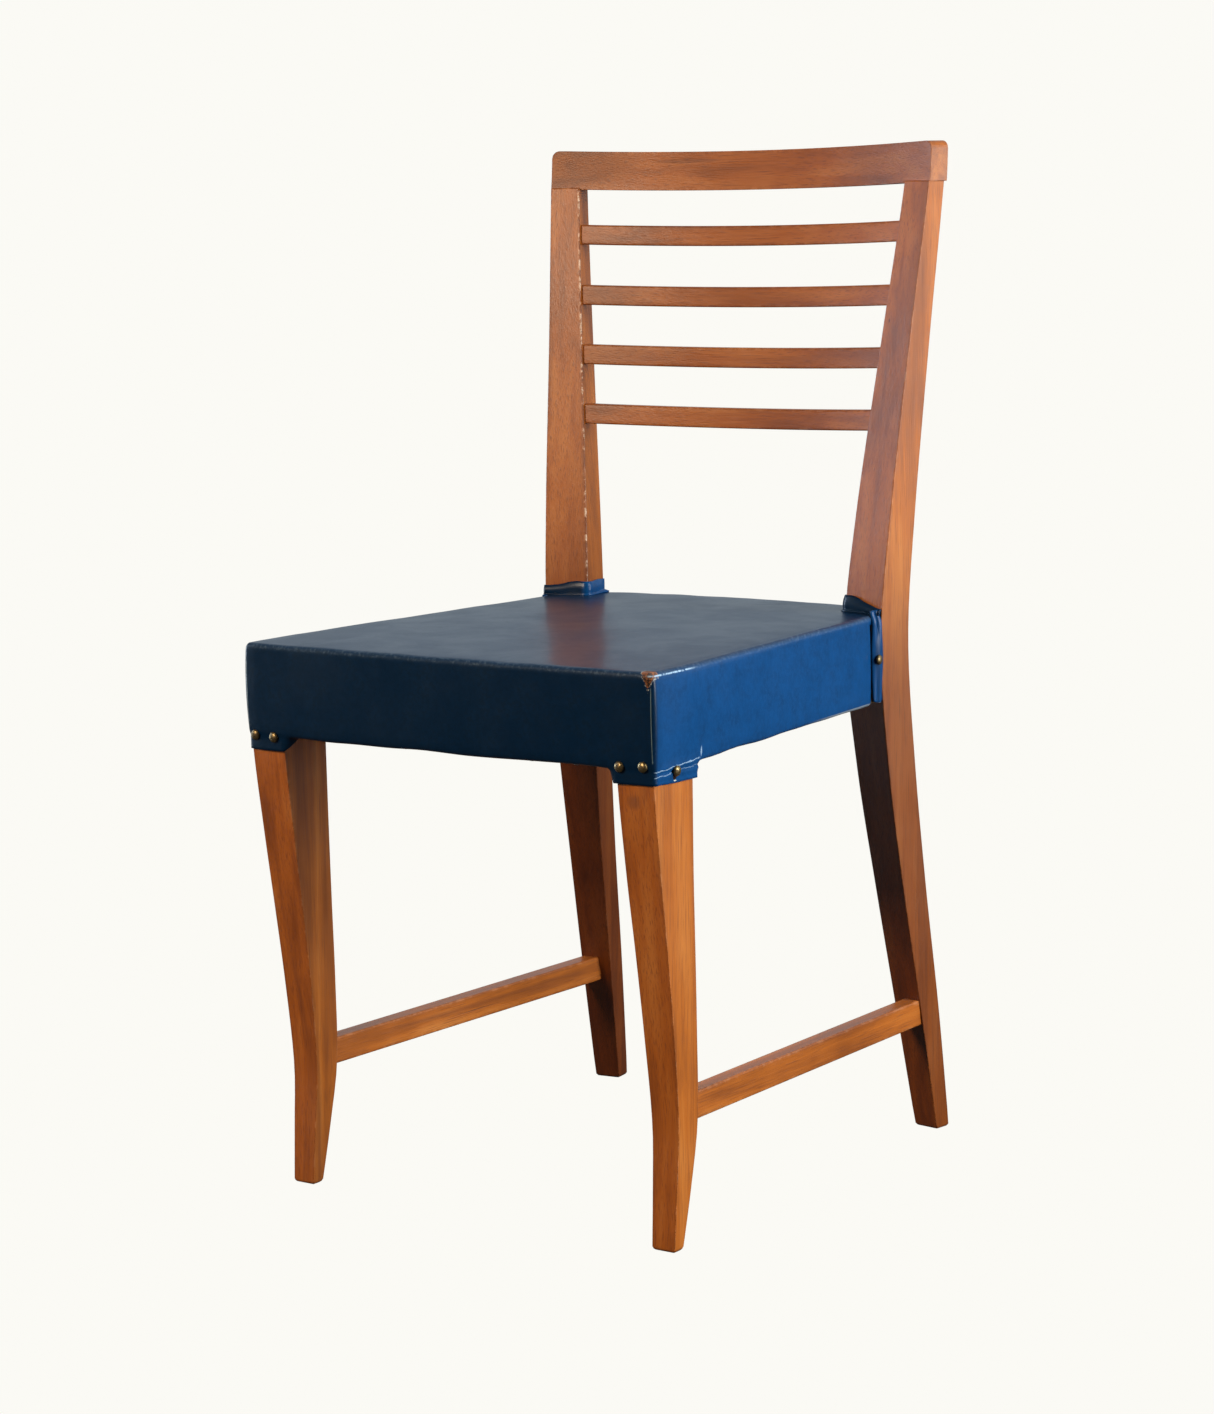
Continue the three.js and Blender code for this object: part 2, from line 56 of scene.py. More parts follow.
def smoothStep(edge0, edge1, x):
    t = min(max((x - edge0) / (edge1 - edge0), 0), 1)
    return t * t * (3 - 2 * t)


def readAt(heights, values, z):
    # a smooth curve through the values of a table, read at any height
    last = len(heights) - 1
    i = 0
    while i < last - 1 and z > heights[i + 1]:
        i += 1

    def slope(k):
        before, after = max(k - 1, 0), min(k + 1, last)
        return (values[after] - values[before]) / (heights[after] - heights[before])

    span = heights[i + 1] - heights[i]
    t = min(max((z - heights[i]) / span, 0), 1)
    return (values[i] * (2 * t**3 - 3 * t**2 + 1) + values[i + 1] * (3 * t**2 - 2 * t**3)
            + span * (slope(i) * (t**3 - 2 * t**2 + t) + slope(i + 1) * (t**3 - t**2)))


class Wire:
    # one output socket, with the arithmetic that the materials use
    def __init__(self, shader, socket):
        self.shader, self.socket = shader, socket

    def maths(self, operation, first, second):
        return self.shader.add("Math", {"operation": operation}, {0: first, 1: second})

    def __add__(self, other):
        return self.maths("ADD", self, other)

    def __sub__(self, other):
        return self.maths("SUBTRACT", self, other)

    def __mul__(self, other):
        return self.maths("MULTIPLY", self, other)

    def __truediv__(self, other):
        return self.maths("DIVIDE", self, other)

    def __abs__(self):
        return self.shader.add("Math", {"operation": "ABSOLUTE"}, {0: self})

    def __pow__(self, other):
        return self.maths("POWER", self, other)

    def __rsub__(self, other):
        return self.maths("SUBTRACT", other, self)

    __radd__, __rmul__ = __add__, __mul__


class Shader:
    # nodes of one material, or of the tree that is given
    def __init__(self, name=None, tree=None):
        if tree is None:
            self.material = bpy.data.materials.new(name)
            self.material.use_nodes = True
            tree = self.material.node_tree
            tree.nodes.clear()
        self.tree = tree

    def add(self, kind, settings=None, sockets=None, out=0):
        made = self.tree.nodes.new("ShaderNode" + kind)
        for name, value in (settings or {}).items():
            if name == "stops":
                self.setStops(made.color_ramp, value)
            else:
                setattr(made, name, value)
        for name, value in (sockets or {}).items():
            if isinstance(value, Wire):
                self.tree.links.new(value.socket, made.inputs[name])
            else:
                made.inputs[name].default_value = value
        return Wire(self, made.outputs[out])

    def setStops(self, ramp, stops):
        while len(ramp.elements) < len(stops):
            ramp.elements.new(0.5)
        for element, (place, colour) in zip(ramp.elements, stops):
            element.position = place
            element.color = (*colour, 1)

    def place(self, scale=(1, 1, 1), shift=(0, 0, 0)):
        spot = self.add("TexCoord", out="Object")
        return self.add("Mapping", {}, {"Vector": spot, "Scale": scale, "Location": shift})

    def noise(self, spot, scale, detail=2.0, roughness=0.5, distortion=0.0):
        return self.add("TexNoise", {}, {"Vector": spot, "Scale": scale, "Detail": detail,
                                         "Roughness": roughness, "Distortion": distortion})

    def ramp(self, factor, low, high, start=0.0, end=1.0):
        return self.add("MapRange", {"interpolation_type": "SMOOTHSTEP"},
                        {"Value": factor, "From Min": low, "From Max": high,
                         "To Min": start, "To Max": end})

    def line(self, distance, halfWidth, core=0.3):
        # 1 along the middle of a line and 0 beyond its half width
        return self.ramp(abs(distance), halfWidth, halfWidth * core)

    def colours(self, factor, stops):
        return self.add("ValToRGB", {"stops": stops}, {"Fac": factor})

    def blend(self, factor, first, second, how="MIX"):
        return self.add("Mix", {"data_type": "RGBA", "blend_type": how},
                        {0: factor, 6: first, 7: second}, out=2)

    def attribute(self, name):
        return self.add("Attribute", {"attribute_name": name}, out="Fac")

    def axes(self):
        # the three Object coordinates, each on a wire of its own
        spot = self.add("TexCoord", out="Object")
        parts = self.add("SeparateXYZ", {}, {0: spot})
        return [Wire(self, socket) for socket in parts.socket.node.outputs]

    def near(self, centre, reach):
        # 1 at a point and 0 beyond an ellipsoid round it, all in millimetres
        spot = self.add("TexCoord", out="Object")
        at = Vector(centre) * mm + Vector((0, depthShift, 0))
        moved = self.add("VectorMath", {"operation": "SUBTRACT"}, {0: spot, 1: at})
        scaled = self.add("VectorMath", {"operation": "DIVIDE"},
                          {0: moved, 1: Vector(reach) * mm})
        far = self.add("VectorMath", {"operation": "LENGTH"}, {0: scaled}, out="Value")
        return self.ramp(far, 1.0, 0.45)

    def bump(self, height, strength, distance):
        return self.add("Bump", {}, {"Height": height, "Strength": strength,
                                     "Distance": distance})

    def finish(self, sockets):
        skin = self.add("BsdfPrincipled", {}, sockets)
        end = self.tree.nodes.new("ShaderNodeOutputMaterial")
        self.tree.links.new(skin.socket, end.inputs["Surface"])


# Camera.
cameraPlace = dict(spot=(1.7324, -2.3797, 0.8315), turn=35.97, dip=8.46, roll=-1.335, lens=90.26)


def makeCamera():
    turn, dip, roll = (math.radians(cameraPlace[k]) for k in ("turn", "dip", "roll"))
    ahead = Vector((-math.sin(turn) * math.cos(dip), math.cos(turn) * math.cos(dip),
                    -math.sin(dip)))
    right = ahead.cross(Vector((0, 0, 1))).normalized()
    up = right.cross(ahead)
    tilted = right * math.cos(roll) + up * math.sin(roll)
    raised = up * math.cos(roll) - right * math.sin(roll)
    data = bpy.data.cameras.new("camera")
    data.lens = cameraPlace["lens"]
    data.sensor_width = 36
    data.clip_end = 50
    camera = bpy.data.objects.new("camera", data)
    bpy.context.scene.collection.objects.link(camera)
    axes = Matrix((tilted, raised, -ahead)).transposed()
    x, y, z = cameraPlace["spot"]
    camera.matrix_world = Matrix.Translation((x, y + depthShift, z)) @ axes.to_4x4()
    bpy.context.scene.camera = camera


# Studio: a white sweep behind and below, a dark room in front, a window on the right, a warm
# lamp in front, and two bluish panels that only show as a sheen.
studio = dict(
    paper=(0.965, 0.956, 0.912),
    room=(0.8, 0.92, 1.0),
    roomDark=0.012,  # how much the room in front of the chair gives
    roomBright=0.6,  # and the sweep behind it
    floorGlow=0.07,  # what the floor throws back up
)
lamps = [
    dict(name="window", spot=(2.6, 0.45, 1.2), aim=(0, 0, 0.5), size=(1.6, 1.9), power=102,
         colour=(0.97, 0.99, 0.95)),
    dict(name="front", spot=(-0.6, -3.1, 2.1), aim=(0, 0, 0.5), size=(1.0, 1.0), power=88,
         colour=(1.0, 0.8, 0.6)),
    dict(name="leftPanel", spot=(-2.5, -0.72, 0.72), aim=(0, 0, 0.65), size=(0.6, 1.6), power=46,
         colour=(0.72, 0.85, 1.0), glossOnly=True),
    dict(name="rightPanel", spot=(2.5, 1.25, 0.5), aim=(0, 0, 0.8), size=(0.7, 0.7), power=8,
         colour=(0.72, 0.85, 1.0), glossOnly=True),
]


def makeWorld():
    world = bpy.data.worlds.new("room")
    world.use_nodes = True
    tree = world.node_tree
    tree.nodes.clear()
    shader = Shader(tree=tree)
    ray = shader.add("LightPath", out="Is Camera Ray")
    way = shader.add("SeparateXYZ", {}, {0: shader.add("TexCoord", out="Generated")}, out=1)
    depth = shader.ramp(way, -0.5, 0.55, studio["roomDark"], studio["roomBright"])
    strength = depth * (1 - ray) + ray
    colour = shader.blend(ray, (*studio["room"], 1), (*studio["paper"], 1))
    glow = shader.add("Background", {}, {"Color": colour, "Strength": strength})
    end = tree.nodes.new("ShaderNodeOutputWorld")
    tree.links.new(glow.socket, end.inputs["Surface"])
    bpy.context.scene.world = world


def makeFloor():
    mesh = bpy.data.meshes.new("floor")
    bm = bmesh.new()
    bmesh.ops.create_grid(bm, x_segments=1, y_segments=1, size=20)
    bm.to_mesh(mesh)
    bm.free()
    floor = bpy.data.objects.new("floor", mesh)
    bpy.context.scene.collection.objects.link(floor)
    shader = Shader("floorPaper")
    ray = shader.add("LightPath", out="Is Camera Ray")
    glow = ray * (1 - studio["floorGlow"]) + studio["floorGlow"]
    light = shader.add("Emission", {}, {"Color": (*studio["paper"], 1), "Strength": glow})
    end = shader.tree.nodes.new("ShaderNodeOutputMaterial")
    shader.tree.links.new(light.socket, end.inputs["Surface"])
    mesh.materials.append(shader.material)


def makeStudio():
    for lamp in lamps:
        data = bpy.data.lights.new(lamp["name"], "AREA")
        data.shape = "RECTANGLE"
        data.size, data.size_y = lamp["size"]
        data.energy = lamp["power"]
        data.color = lamp["colour"]
        light = bpy.data.objects.new(lamp["name"], data)
        light.location = lamp["spot"]
        toward = Vector(lamp["aim"]) - Vector(lamp["spot"])
        light.rotation_mode = "QUATERNION"
        light.rotation_quaternion = toward.to_track_quat("-Z", "Y")
        light.visible_diffuse = not lamp.get("glossOnly", False)
        bpy.context.scene.collection.objects.link(light)
    makeWorld()
    makeFloor()
    bpy.context.scene.view_settings.view_transform = "Standard"
    print("studio is up")


# Wood: an oiled reddish brown, with fine straight grain, rubbed arrises and dark feet, and painted
# shade on the lower rear legs and over parts of the back.
woodTones = dict(
    light=(0.57, 0.185, 0.03),
    middle=(0.46, 0.124, 0.012),
    dark=(0.26, 0.066, 0.008),
    smoked=(0.2, 0.055, 0.014),
    worn=(0.8, 0.6, 0.44),
    grimeAndShade=(0.035, 0.014, 0.008),
    # painted shade: the tone that darkens the lower rear legs where the seat shades them
    markOrPaintedLight=(0.36, 0.28, 0.24),  # what the lower rear legs are darkened by
    roughness=0.37,
    sheen=0.42,
    coat=0.05,
    coatRoughness=0.2,
    footHeight=9,  # how far up the feet are stained
)
# Chips and stains, and three broad patches of painted shade on the back, each with its middle, its
# reach and how dark it is, in millimetres.
marks = dict(
    lacqueredUpright=[
        ((194, 219, 800), (2, 3.2, 7), 0.9),
        ((-171, -168, 2), (5, 6, 8), 0.95),
        ((199, -176, 4), (4, 8, 3), 0.7),
        ((183, 244, 60), (4, 3, 4), 0.8),
        ((182, -213, 360), (10, 4, 9), 0.35),
        ((165, 200, 708), (1.6, 2, 3), 0.8),
    ],
    lacqueredAcross=[
        ((166, 213, 840), (12, 4, 5), 0.3),
        ((-60, 238, 846), (60, 6, 3), 0.3),
        # painted shade: broad darkening over the two ends of the crest and the left ends of the
        # slats
        ((-185, 215, 845), (95, 60, 32), 0.3),
        ((150, 215, 845), (85, 60, 32), 0.22),
        ((-150, 205, 700), (75, 70, 125), 0.2),
    ],
    lacqueredLengthwise=[
        ((190, 20, 113), (4, 38, 2.2), 0.42),
        ((186, 110, 104), (4, 30, 1.6), 0.35),
        ((-172, 40, 107), (5, 60, 0.7), 0.85),
    ],
)


def makeWood(name, grain, seed):
    # grain is 0, 1 or 2, the axis that the fibres run along
    shader = Shader(name)
    stretch, fine = [1.0, 1.0, 1.0], [1.0, 1.0, 1.0]
    stretch[grain], fine[grain] = 0.045, 0.02
    shift = (seed * 3.1, seed * 1.7, seed * 2.3)
    even = shader.place((1, 1, 1), shift)
    bands = shader.noise(shader.place(stretch, shift), 75, 4, 0.55, 0.5)
    pores = shader.noise(shader.place(fine, shift), 1150, 2, 0.6)
    cloud = shader.noise(even, 9, 3, 0.55)
    patch = shader.noise(even, 95, 4, 0.7)
    figure = bands * 0.62 + cloud * 0.38
    colour = shader.colours(figure, [(0.34, woodTones["dark"]), (0.5, woodTones["middle"]),
                                     (0.66, woodTones["light"])])
    smoke = shader.noise(shader.place(stretch, (shift[1], shift[2], shift[0])), 28, 4, 0.6, 0.8)
    colour = shader.blend(shader.ramp(smoke, 0.5, 0.72, 0.0, 0.7), colour,
                          (*woodTones["smoked"], 1))
    streak = shader.ramp(pores, 0.5, 0.72, 0.0, 0.62)
    colour = shader.blend(streak, colour, (*woodTones["smoked"], 1))
    arris = shader.attribute("arris")
    shade = (arris ** 2) * shader.ramp(patch, 0.62, 0.4) * 0.85
    colour = shader.blend(shade, colour, (*woodTones["smoked"], 1))
    rubbedOrHighlit = (arris ** 5) * shader.ramp(patch, 0.5, 0.6)
    colour = shader.blend(rubbedOrHighlit * 0.8, colour, (*woodTones["worn"], 1))
    height = shader.axes()[2]
    dirtAndShade = shader.ramp(height * 1000 + patch * 10, woodTones["footHeight"], 3, 0.0, 0.8)
    for centre, reach, depth in marks[name]:
        mark = shader.near(centre, reach) * depth
        dirtAndShade = shader.add("Math", {"operation": "MAXIMUM"}, {0: dirtAndShade, 1: mark})
    # grime on the feet and in the chips and stains, with painted shade from the broad marks on the
    # back
    colour = shader.blend(dirtAndShade, colour, (*woodTones["grimeAndShade"], 1))
    # painted shade: the lower rear legs are darkened towards the floor, where the seat shades them
    stain = shader.attribute("stain")
    colour = shader.blend(stain, colour, (*woodTones["markOrPaintedLight"], 1), "MULTIPLY")
    gloss = woodTones["roughness"] + (cloud - 0.5) * 0.2 - rubbedOrHighlit * 0.1 + dirtAndShade * 0.3
    relief = bands * 0.4 + pores * 0.9 + cloud * 0.6 + patch * arris * 0.5 - dirtAndShade * 0.6
    shader.finish({"Base Color": colour, "Roughness": gloss,
                   "Coat Weight": woodTones["coat"], "Coat Roughness": woodTones["coatRoughness"],
                   "Specular IOR Level": woodTones["sheen"],
                   "Normal": shader.bump(relief, 0.4, 0.0007)})
    return shader.material


# Shaped bars.
def cutBox(rings, across, over):
    # a unit box with loops cut across each of its three directions
    bm = bmesh.new()
    bmesh.ops.create_cube(bm, size=1)
    bmesh.ops.translate(bm, verts=bm.verts, vec=(0.5, 0.5, 0.5))
    cuts = [((0, 0, w), (0, 0, 1)) for w in rings]
    cuts += [((u, 0, 0), (1, 0, 0)) for u in across]
    cuts += [((0, v, 0), (0, 1, 0)) for v in over]
    for spot, normal in cuts:
        bmesh.ops.bisect_plane(bm, geom=bm.verts[:] + bm.edges[:] + bm.faces[:],
                               plane_co=spot, plane_no=normal)
    return bm


def boxEdges(bm):
    # the edges that lie on two sides of the unit box
    def held(edge, k):
        a, b = (v.co[k] for v in edge.verts)
        return abs(a - b) < 1e-6 and min(abs(a), abs(a - 1)) < 1e-6

    return [edge for edge in bm.edges if sum(held(edge, k) for k in range(3)) >= 2]


def inMetres(spot):
    return Vector(spot) * mm + Vector((0, depthShift, 0))


def evenly(steps, ends=()):
    # cuts at even steps, with closer ones near the two ends
    near = [*ends, *(1 - t for t in ends)]
    return sorted([i / steps for i in range(1, steps)] + near)


def bar(place, rings, arris, support=0.11, wear=0.62):
    # the box's corners are moved to their places and its arrises rounded; the loops beside
    # the arrises hold the worn edge to a narrow band
    sides = (support, 0.5, 1 - support)
    bm = cutBox(rings, sides, sides)
    edges = boxEdges(bm)
    for vert in bm.verts:
        vert.co = inMetres(place(*vert.co))
    bmesh.ops.recalc_face_normals(bm, faces=bm.faces)
    layer = bm.verts.layers.float.new("arris")
    made = bmesh.ops.bevel(bm, geom=edges, offset=arris * mm, offset_type="OFFSET", affect="EDGES",
                           segments=3, profile=0.5, material=-1, clamp_overlap=True)
    for vert in made["verts"]:
        vert[layer] = wear
    return bm


def addPiece(name, bm, material, nodeNames=(), mirrored=False):
    if mirrored:
        bmesh.ops.scale(bm, verts=bm.verts, vec=(-1, 1, 1))
        bmesh.ops.reverse_faces(bm, faces=bm.faces)
    for face in bm.faces:
        face.smooth = True
    mesh = bpy.data.meshes.new(name)
    bm.to_mesh(mesh)
    bm.free()
    mesh.materials.append(material)
    piece = bpy.data.objects.new(name, mesh)
    bpy.context.scene.collection.objects.link(piece)
    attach(piece, "root")
    if nodeNames:
        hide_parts(*nodeNames)
    return piece


def evenShading(piece):
    weighted = piece.modifiers.new("evenShading", "WEIGHTED_NORMAL")
    weighted.keep_sharp = True
    weighted.weight = 90


def thicken(piece, thickness, offset):
    # offset -1 puts the thickness behind the faces, 1 in front of them
    thick = piece.modifiers.new("thickness", "SOLIDIFY")
    thick.thickness = thickness * mm
    thick.offset = offset


sides = (("right", False), ("left", True))

frontLeg = dict(
    heights=(0, 50, 100, 170, 240, 300, 378, 410, 447),
    frontY=(-189, -185.2, -182, -187.6, -196, -204, -213, -213, -213),
    rearY=(-177, -164.9, -155.7, -156.2, -158.2, -159.8, -160.4, -160.4, -160.4),
    outerX=(195.4, 196.3, 197.1, 198.5, 199.9, 200.8, 202, 202, 202),
    innerX=(173.9, 173, 171.6, 169.9, 169, 168.1, 167.7, 167.7, 167.7),
    rings=30,
    arris=1.7,
    footRound=3.5,
)


def footTuck(z, radius):
    # how far a foot draws in above the floor
    if z >= radius:
        return 0
    return radius - math.sqrt(radius**2 - (radius - z) ** 2)


def makeFrontLegs(upright):
    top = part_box("front_leg_right")[1].z / mm

    def place(u, v, w):
        z = w * top
        read = {k: readAt(frontLeg["heights"], frontLeg[k], z)
                for k in ("outerX", "innerX", "frontY", "rearY")}
        tuck = footTuck(z, frontLeg["footRound"])
        return (lerp(read["innerX"] + tuck, read["outerX"] - tuck, u),
                lerp(read["frontY"] + tuck, read["rearY"] - tuck, v), z)

    for side, mirrored in sides:
        bm = bar(place, evenly(frontLeg["rings"], (0.001, 0.003, 0.007)), frontLeg["arris"])
        leg = addPiece(f"leg_front_{side}", bm, upright, [f"front_leg_{side}"], mirrored=mirrored)
        evenShading(leg)
    print("front legs are shaped")


rearPost = dict(
    heights=(0, 110, 220, 330, 440, 540, 690, 824, 858),
    outerX=(185, 182.3, 178.5, 176, 176.4, 180.9, 188.8, 197.5, 198.2),
    frontY=(231, 210.6, 190, 171.7, 160.3, 169.5, 191.3, 211.7, 214.7),
    width=(24.6, 29.3, 32.8, 38, 42.2, 40.1, 32.6, 28, 28),
    depth=(17, 24, 29.4, 33.8, 35, 31.4, 25.5, 19.2, 19.2),
    toeIn=(8, 9, 10, 11, 11, 11, 11, 11, 11),
    top=824.7,
    rings=46,
    arris=1.6,
    footRound=3.5,
    # painted shade on the rear posts: it fades in from the first height down to the second, and
    # the right post gets less of it
    shadeFrom=560,
    shadeFull=380,
    rightShade=0.8,
    rubbedAbove=480,  # the left post is rubbed bare along its inner front arris
    rubbedReach=4,
)


def postSection(z):
    return {k: readAt(rearPost["heights"], rearPost[k], z)
            for k in ("outerX", "frontY", "width", "depth", "toeIn")}


def postSpot(across, behind, z):
    # across is measured from the outer edge of the front face, behind from that face
    s = postSection(z)
    toe = math.radians(s["toeIn"])
    return (s["outerX"] - across * math.cos(toe) + behind * math.sin(toe),
            s["frontY"] + across * math.sin(toe) + behind * math.cos(toe), z)


def makeRearPosts(upright):
    def place(u, v, w):
        z = w * rearPost["top"]
        s = postSection(z)
        tuck = footTuck(z, rearPost["footRound"])
        return postSpot(lerp(s["width"] - tuck, tuck, u), lerp(tuck, s["depth"] - tuck, v), z)

    for side, mirrored in sides:
        bm = bar(place, evenly(rearPost["rings"], (0.001, 0.003)), rearPost["arris"])
        # painted shade, darkest low on the posts and on the left one
        stain = bm.verts.layers.float.new("stain")
        worn = bm.verts.layers.float["arris"]
        for vert in bm.verts:
            z = vert.co.z / mm
            vert[stain] = (smoothStep(rearPost["shadeFrom"], rearPost["shadeFull"], z)
                           * (1 if mirrored else rearPost["rightShade"]))
            corner = inMetres(postSpot(postSection(z)["width"], 0, z))
            atCorner = (vert.co - corner).length < rearPost["rubbedReach"] * mm
            if mirrored and z > rearPost["rubbedAbove"] and atCorner and vert[worn] > 0:
                vert[worn] = 1
        post = addPiece(f"post_rear_{side}", bm, upright, [f"rear_post_{side}"], mirrored=mirrored)
        evenShading(post)
    print("rear posts are shaped")


# The back is hollow towards the sitter, and its curve lies square to the rake.
back = dict(radius=715, dip=0.155)
crest = dict(bottom=824, top=858, halfWidth=197.9, thickness=19.4, setBack=1, rings=48, arris=2.4,
             endRound=7)
slats = dict(tops=(791.8, 738.4, 685.7, 633.1), height=17.5, thickness=9, setBack=2, letIn=5,
             rings=40, arris=1.5)


def hollow(x, halfWidth):
    return (halfWidth**2 - x**2) / (2 * back["radius"])


def backY(x, z, behind):
    s = postSection(z)
    return s["frontY"] + hollow(x, s["outerX"]) + behind


def makeCrest(crossGrain):
    half, radius = crest["halfWidth"], crest["endRound"]

    def place(u, v, w):
        x = half * (1 - 2 * w)
        into = max(radius - (half - abs(x)), 0)
        top = crest["top"] - radius + math.sqrt(radius**2 - into**2)
        z = lerp(crest["bottom"], top, u)
        behind = crest["thickness"] * v
        turn = x / back["radius"]
        y = backY(x, z, crest["setBack"] + behind * math.cos(turn))
        return x + behind * turn, y, z - back["dip"] * hollow(x, half)

    bm = bar(place, evenly(crest["rings"], (0.0012, 0.003, 0.006, 0.01, 0.0145)), crest["arris"],
             support=0.2)
    evenShading(addPiece("rail_crest", bm, crossGrain, ["crest_rail"]))
    print("crest rail is shaped")


def makeSlats(crossGrain):
    for i, top in enumerate(slats["tops"]):
        s = postSection(top - slats["height"] / 2)
        half = s["outerX"] - s["width"] * math.cos(math.radians(s["toeIn"])) + slats["letIn"]

        def place(u, v, w):
            x = half * (1 - 2 * w)
            z = lerp(top - slats["height"], top, u)
            y = backY(x, z, slats["setBack"] + slats["thickness"] * v)
            return x, y, z - back["dip"] * hollow(x, half)

        bm = bar(place, evenly(slats["rings"]), slats["arris"], support=0.22)
        evenShading(addPiece(f"slat_{i + 1}", bm, crossGrain, [f"back_slat_{i + 1}"]))
    print("slats are shaped")


stretcher = dict(bottom=97.8, top=120.3, thickness=16, frontX=190, frontY=-172, rearX=180.4,
                 rearY=226, startY=-161, endY=216, rings=20, arris=1.5)


def makeStretchers(lengthGrain):
    def place(u, v, w):
        y = lerp(stretcher["startY"], stretcher["endY"], w)
        t = (y - stretcher["frontY"]) / (stretcher["rearY"] - stretcher["frontY"])
        outer = lerp(stretcher["frontX"], stretcher["rearX"], t)
        # u runs down and v outwards, so that the box isn't turned inside out
        return (outer - stretcher["thickness"] * (1 - v), y,
                lerp(stretcher["top"], stretcher["bottom"], u))

    for side, mirrored in sides:
        bm = bar(place, evenly(stretcher["rings"]), stretcher["arris"], support=0.2)
        piece = addPiece(f"stretcher_{side}", bm, lengthGrain, [f"side_stretcher_{side}"],
                         mirrored=mirrored)
        evenShading(piece)
    print("stretchers are shaped")


# Leather: dark navy where it is in shade, with painted light making it lighter and bluer on the
# sides, and a worn corner.
leatherTones = dict(
    navy=(0.0006, 0.014, 0.044),
    litBlue=(0.004, 0.066, 0.225),
    shaded=(0.002, 0.035, 0.12),
    greyed=(0.012, 0.024, 0.036),
    tan=(0.3, 0.1, 0.03),
    torn=(0.02, 0.009, 0.005),
    # painted highlight colour, for the top arris and the lip creases
    rubbedOrHighlit=(0.42, 0.6, 0.8),
    hem=(0.3, 0.34, 0.38),
    pale=(0.62, 0.62, 0.55),
    thread=(0.3, 0.42, 0.42),
    roughness=0.31,
    sheen=0.14,
    coat=0.12,
    coatRoughness=0.14,
)
# Pale lines, painted highlights and worn places on the cover, in millimetres.
seam = dict(x=203, frontY=-205, halfWidth=0.5, top=452, bottom=392)
wornCorner = dict(x=200.4, halfWidth=6.2, top=461.5, bottom=448.5, frontY=-207)
highlitEdge = dict(centre=(204, -192, 461), reach=(7, 44, 5), line=459.6, halfWidth=0.9)
# painted highlights: lines along the lip's creases, and a spot on the pucker above them
lipCreases = [dict(z=385.6, rise=0.05, halfWidth=0.62), dict(z=381.6, rise=0.04, halfWidth=0.5)]
creaseStart = dict(x=202.5, cornerY=-214, rearY=-150, waver=6)
puckerHighlight = dict(centre=(205, -150.5, 393.5), reach=(4, 1.7, 5.5))
nailTear = dict(centre=(206, -187, 378.6), reach=(5, 4.2, 3.4))
tearEdge = dict(centre=(206, -186.5, 375.9), reach=(5, 3, 1.2))
paleHem = dict(top=388.6, frontY=25, rearY=95)


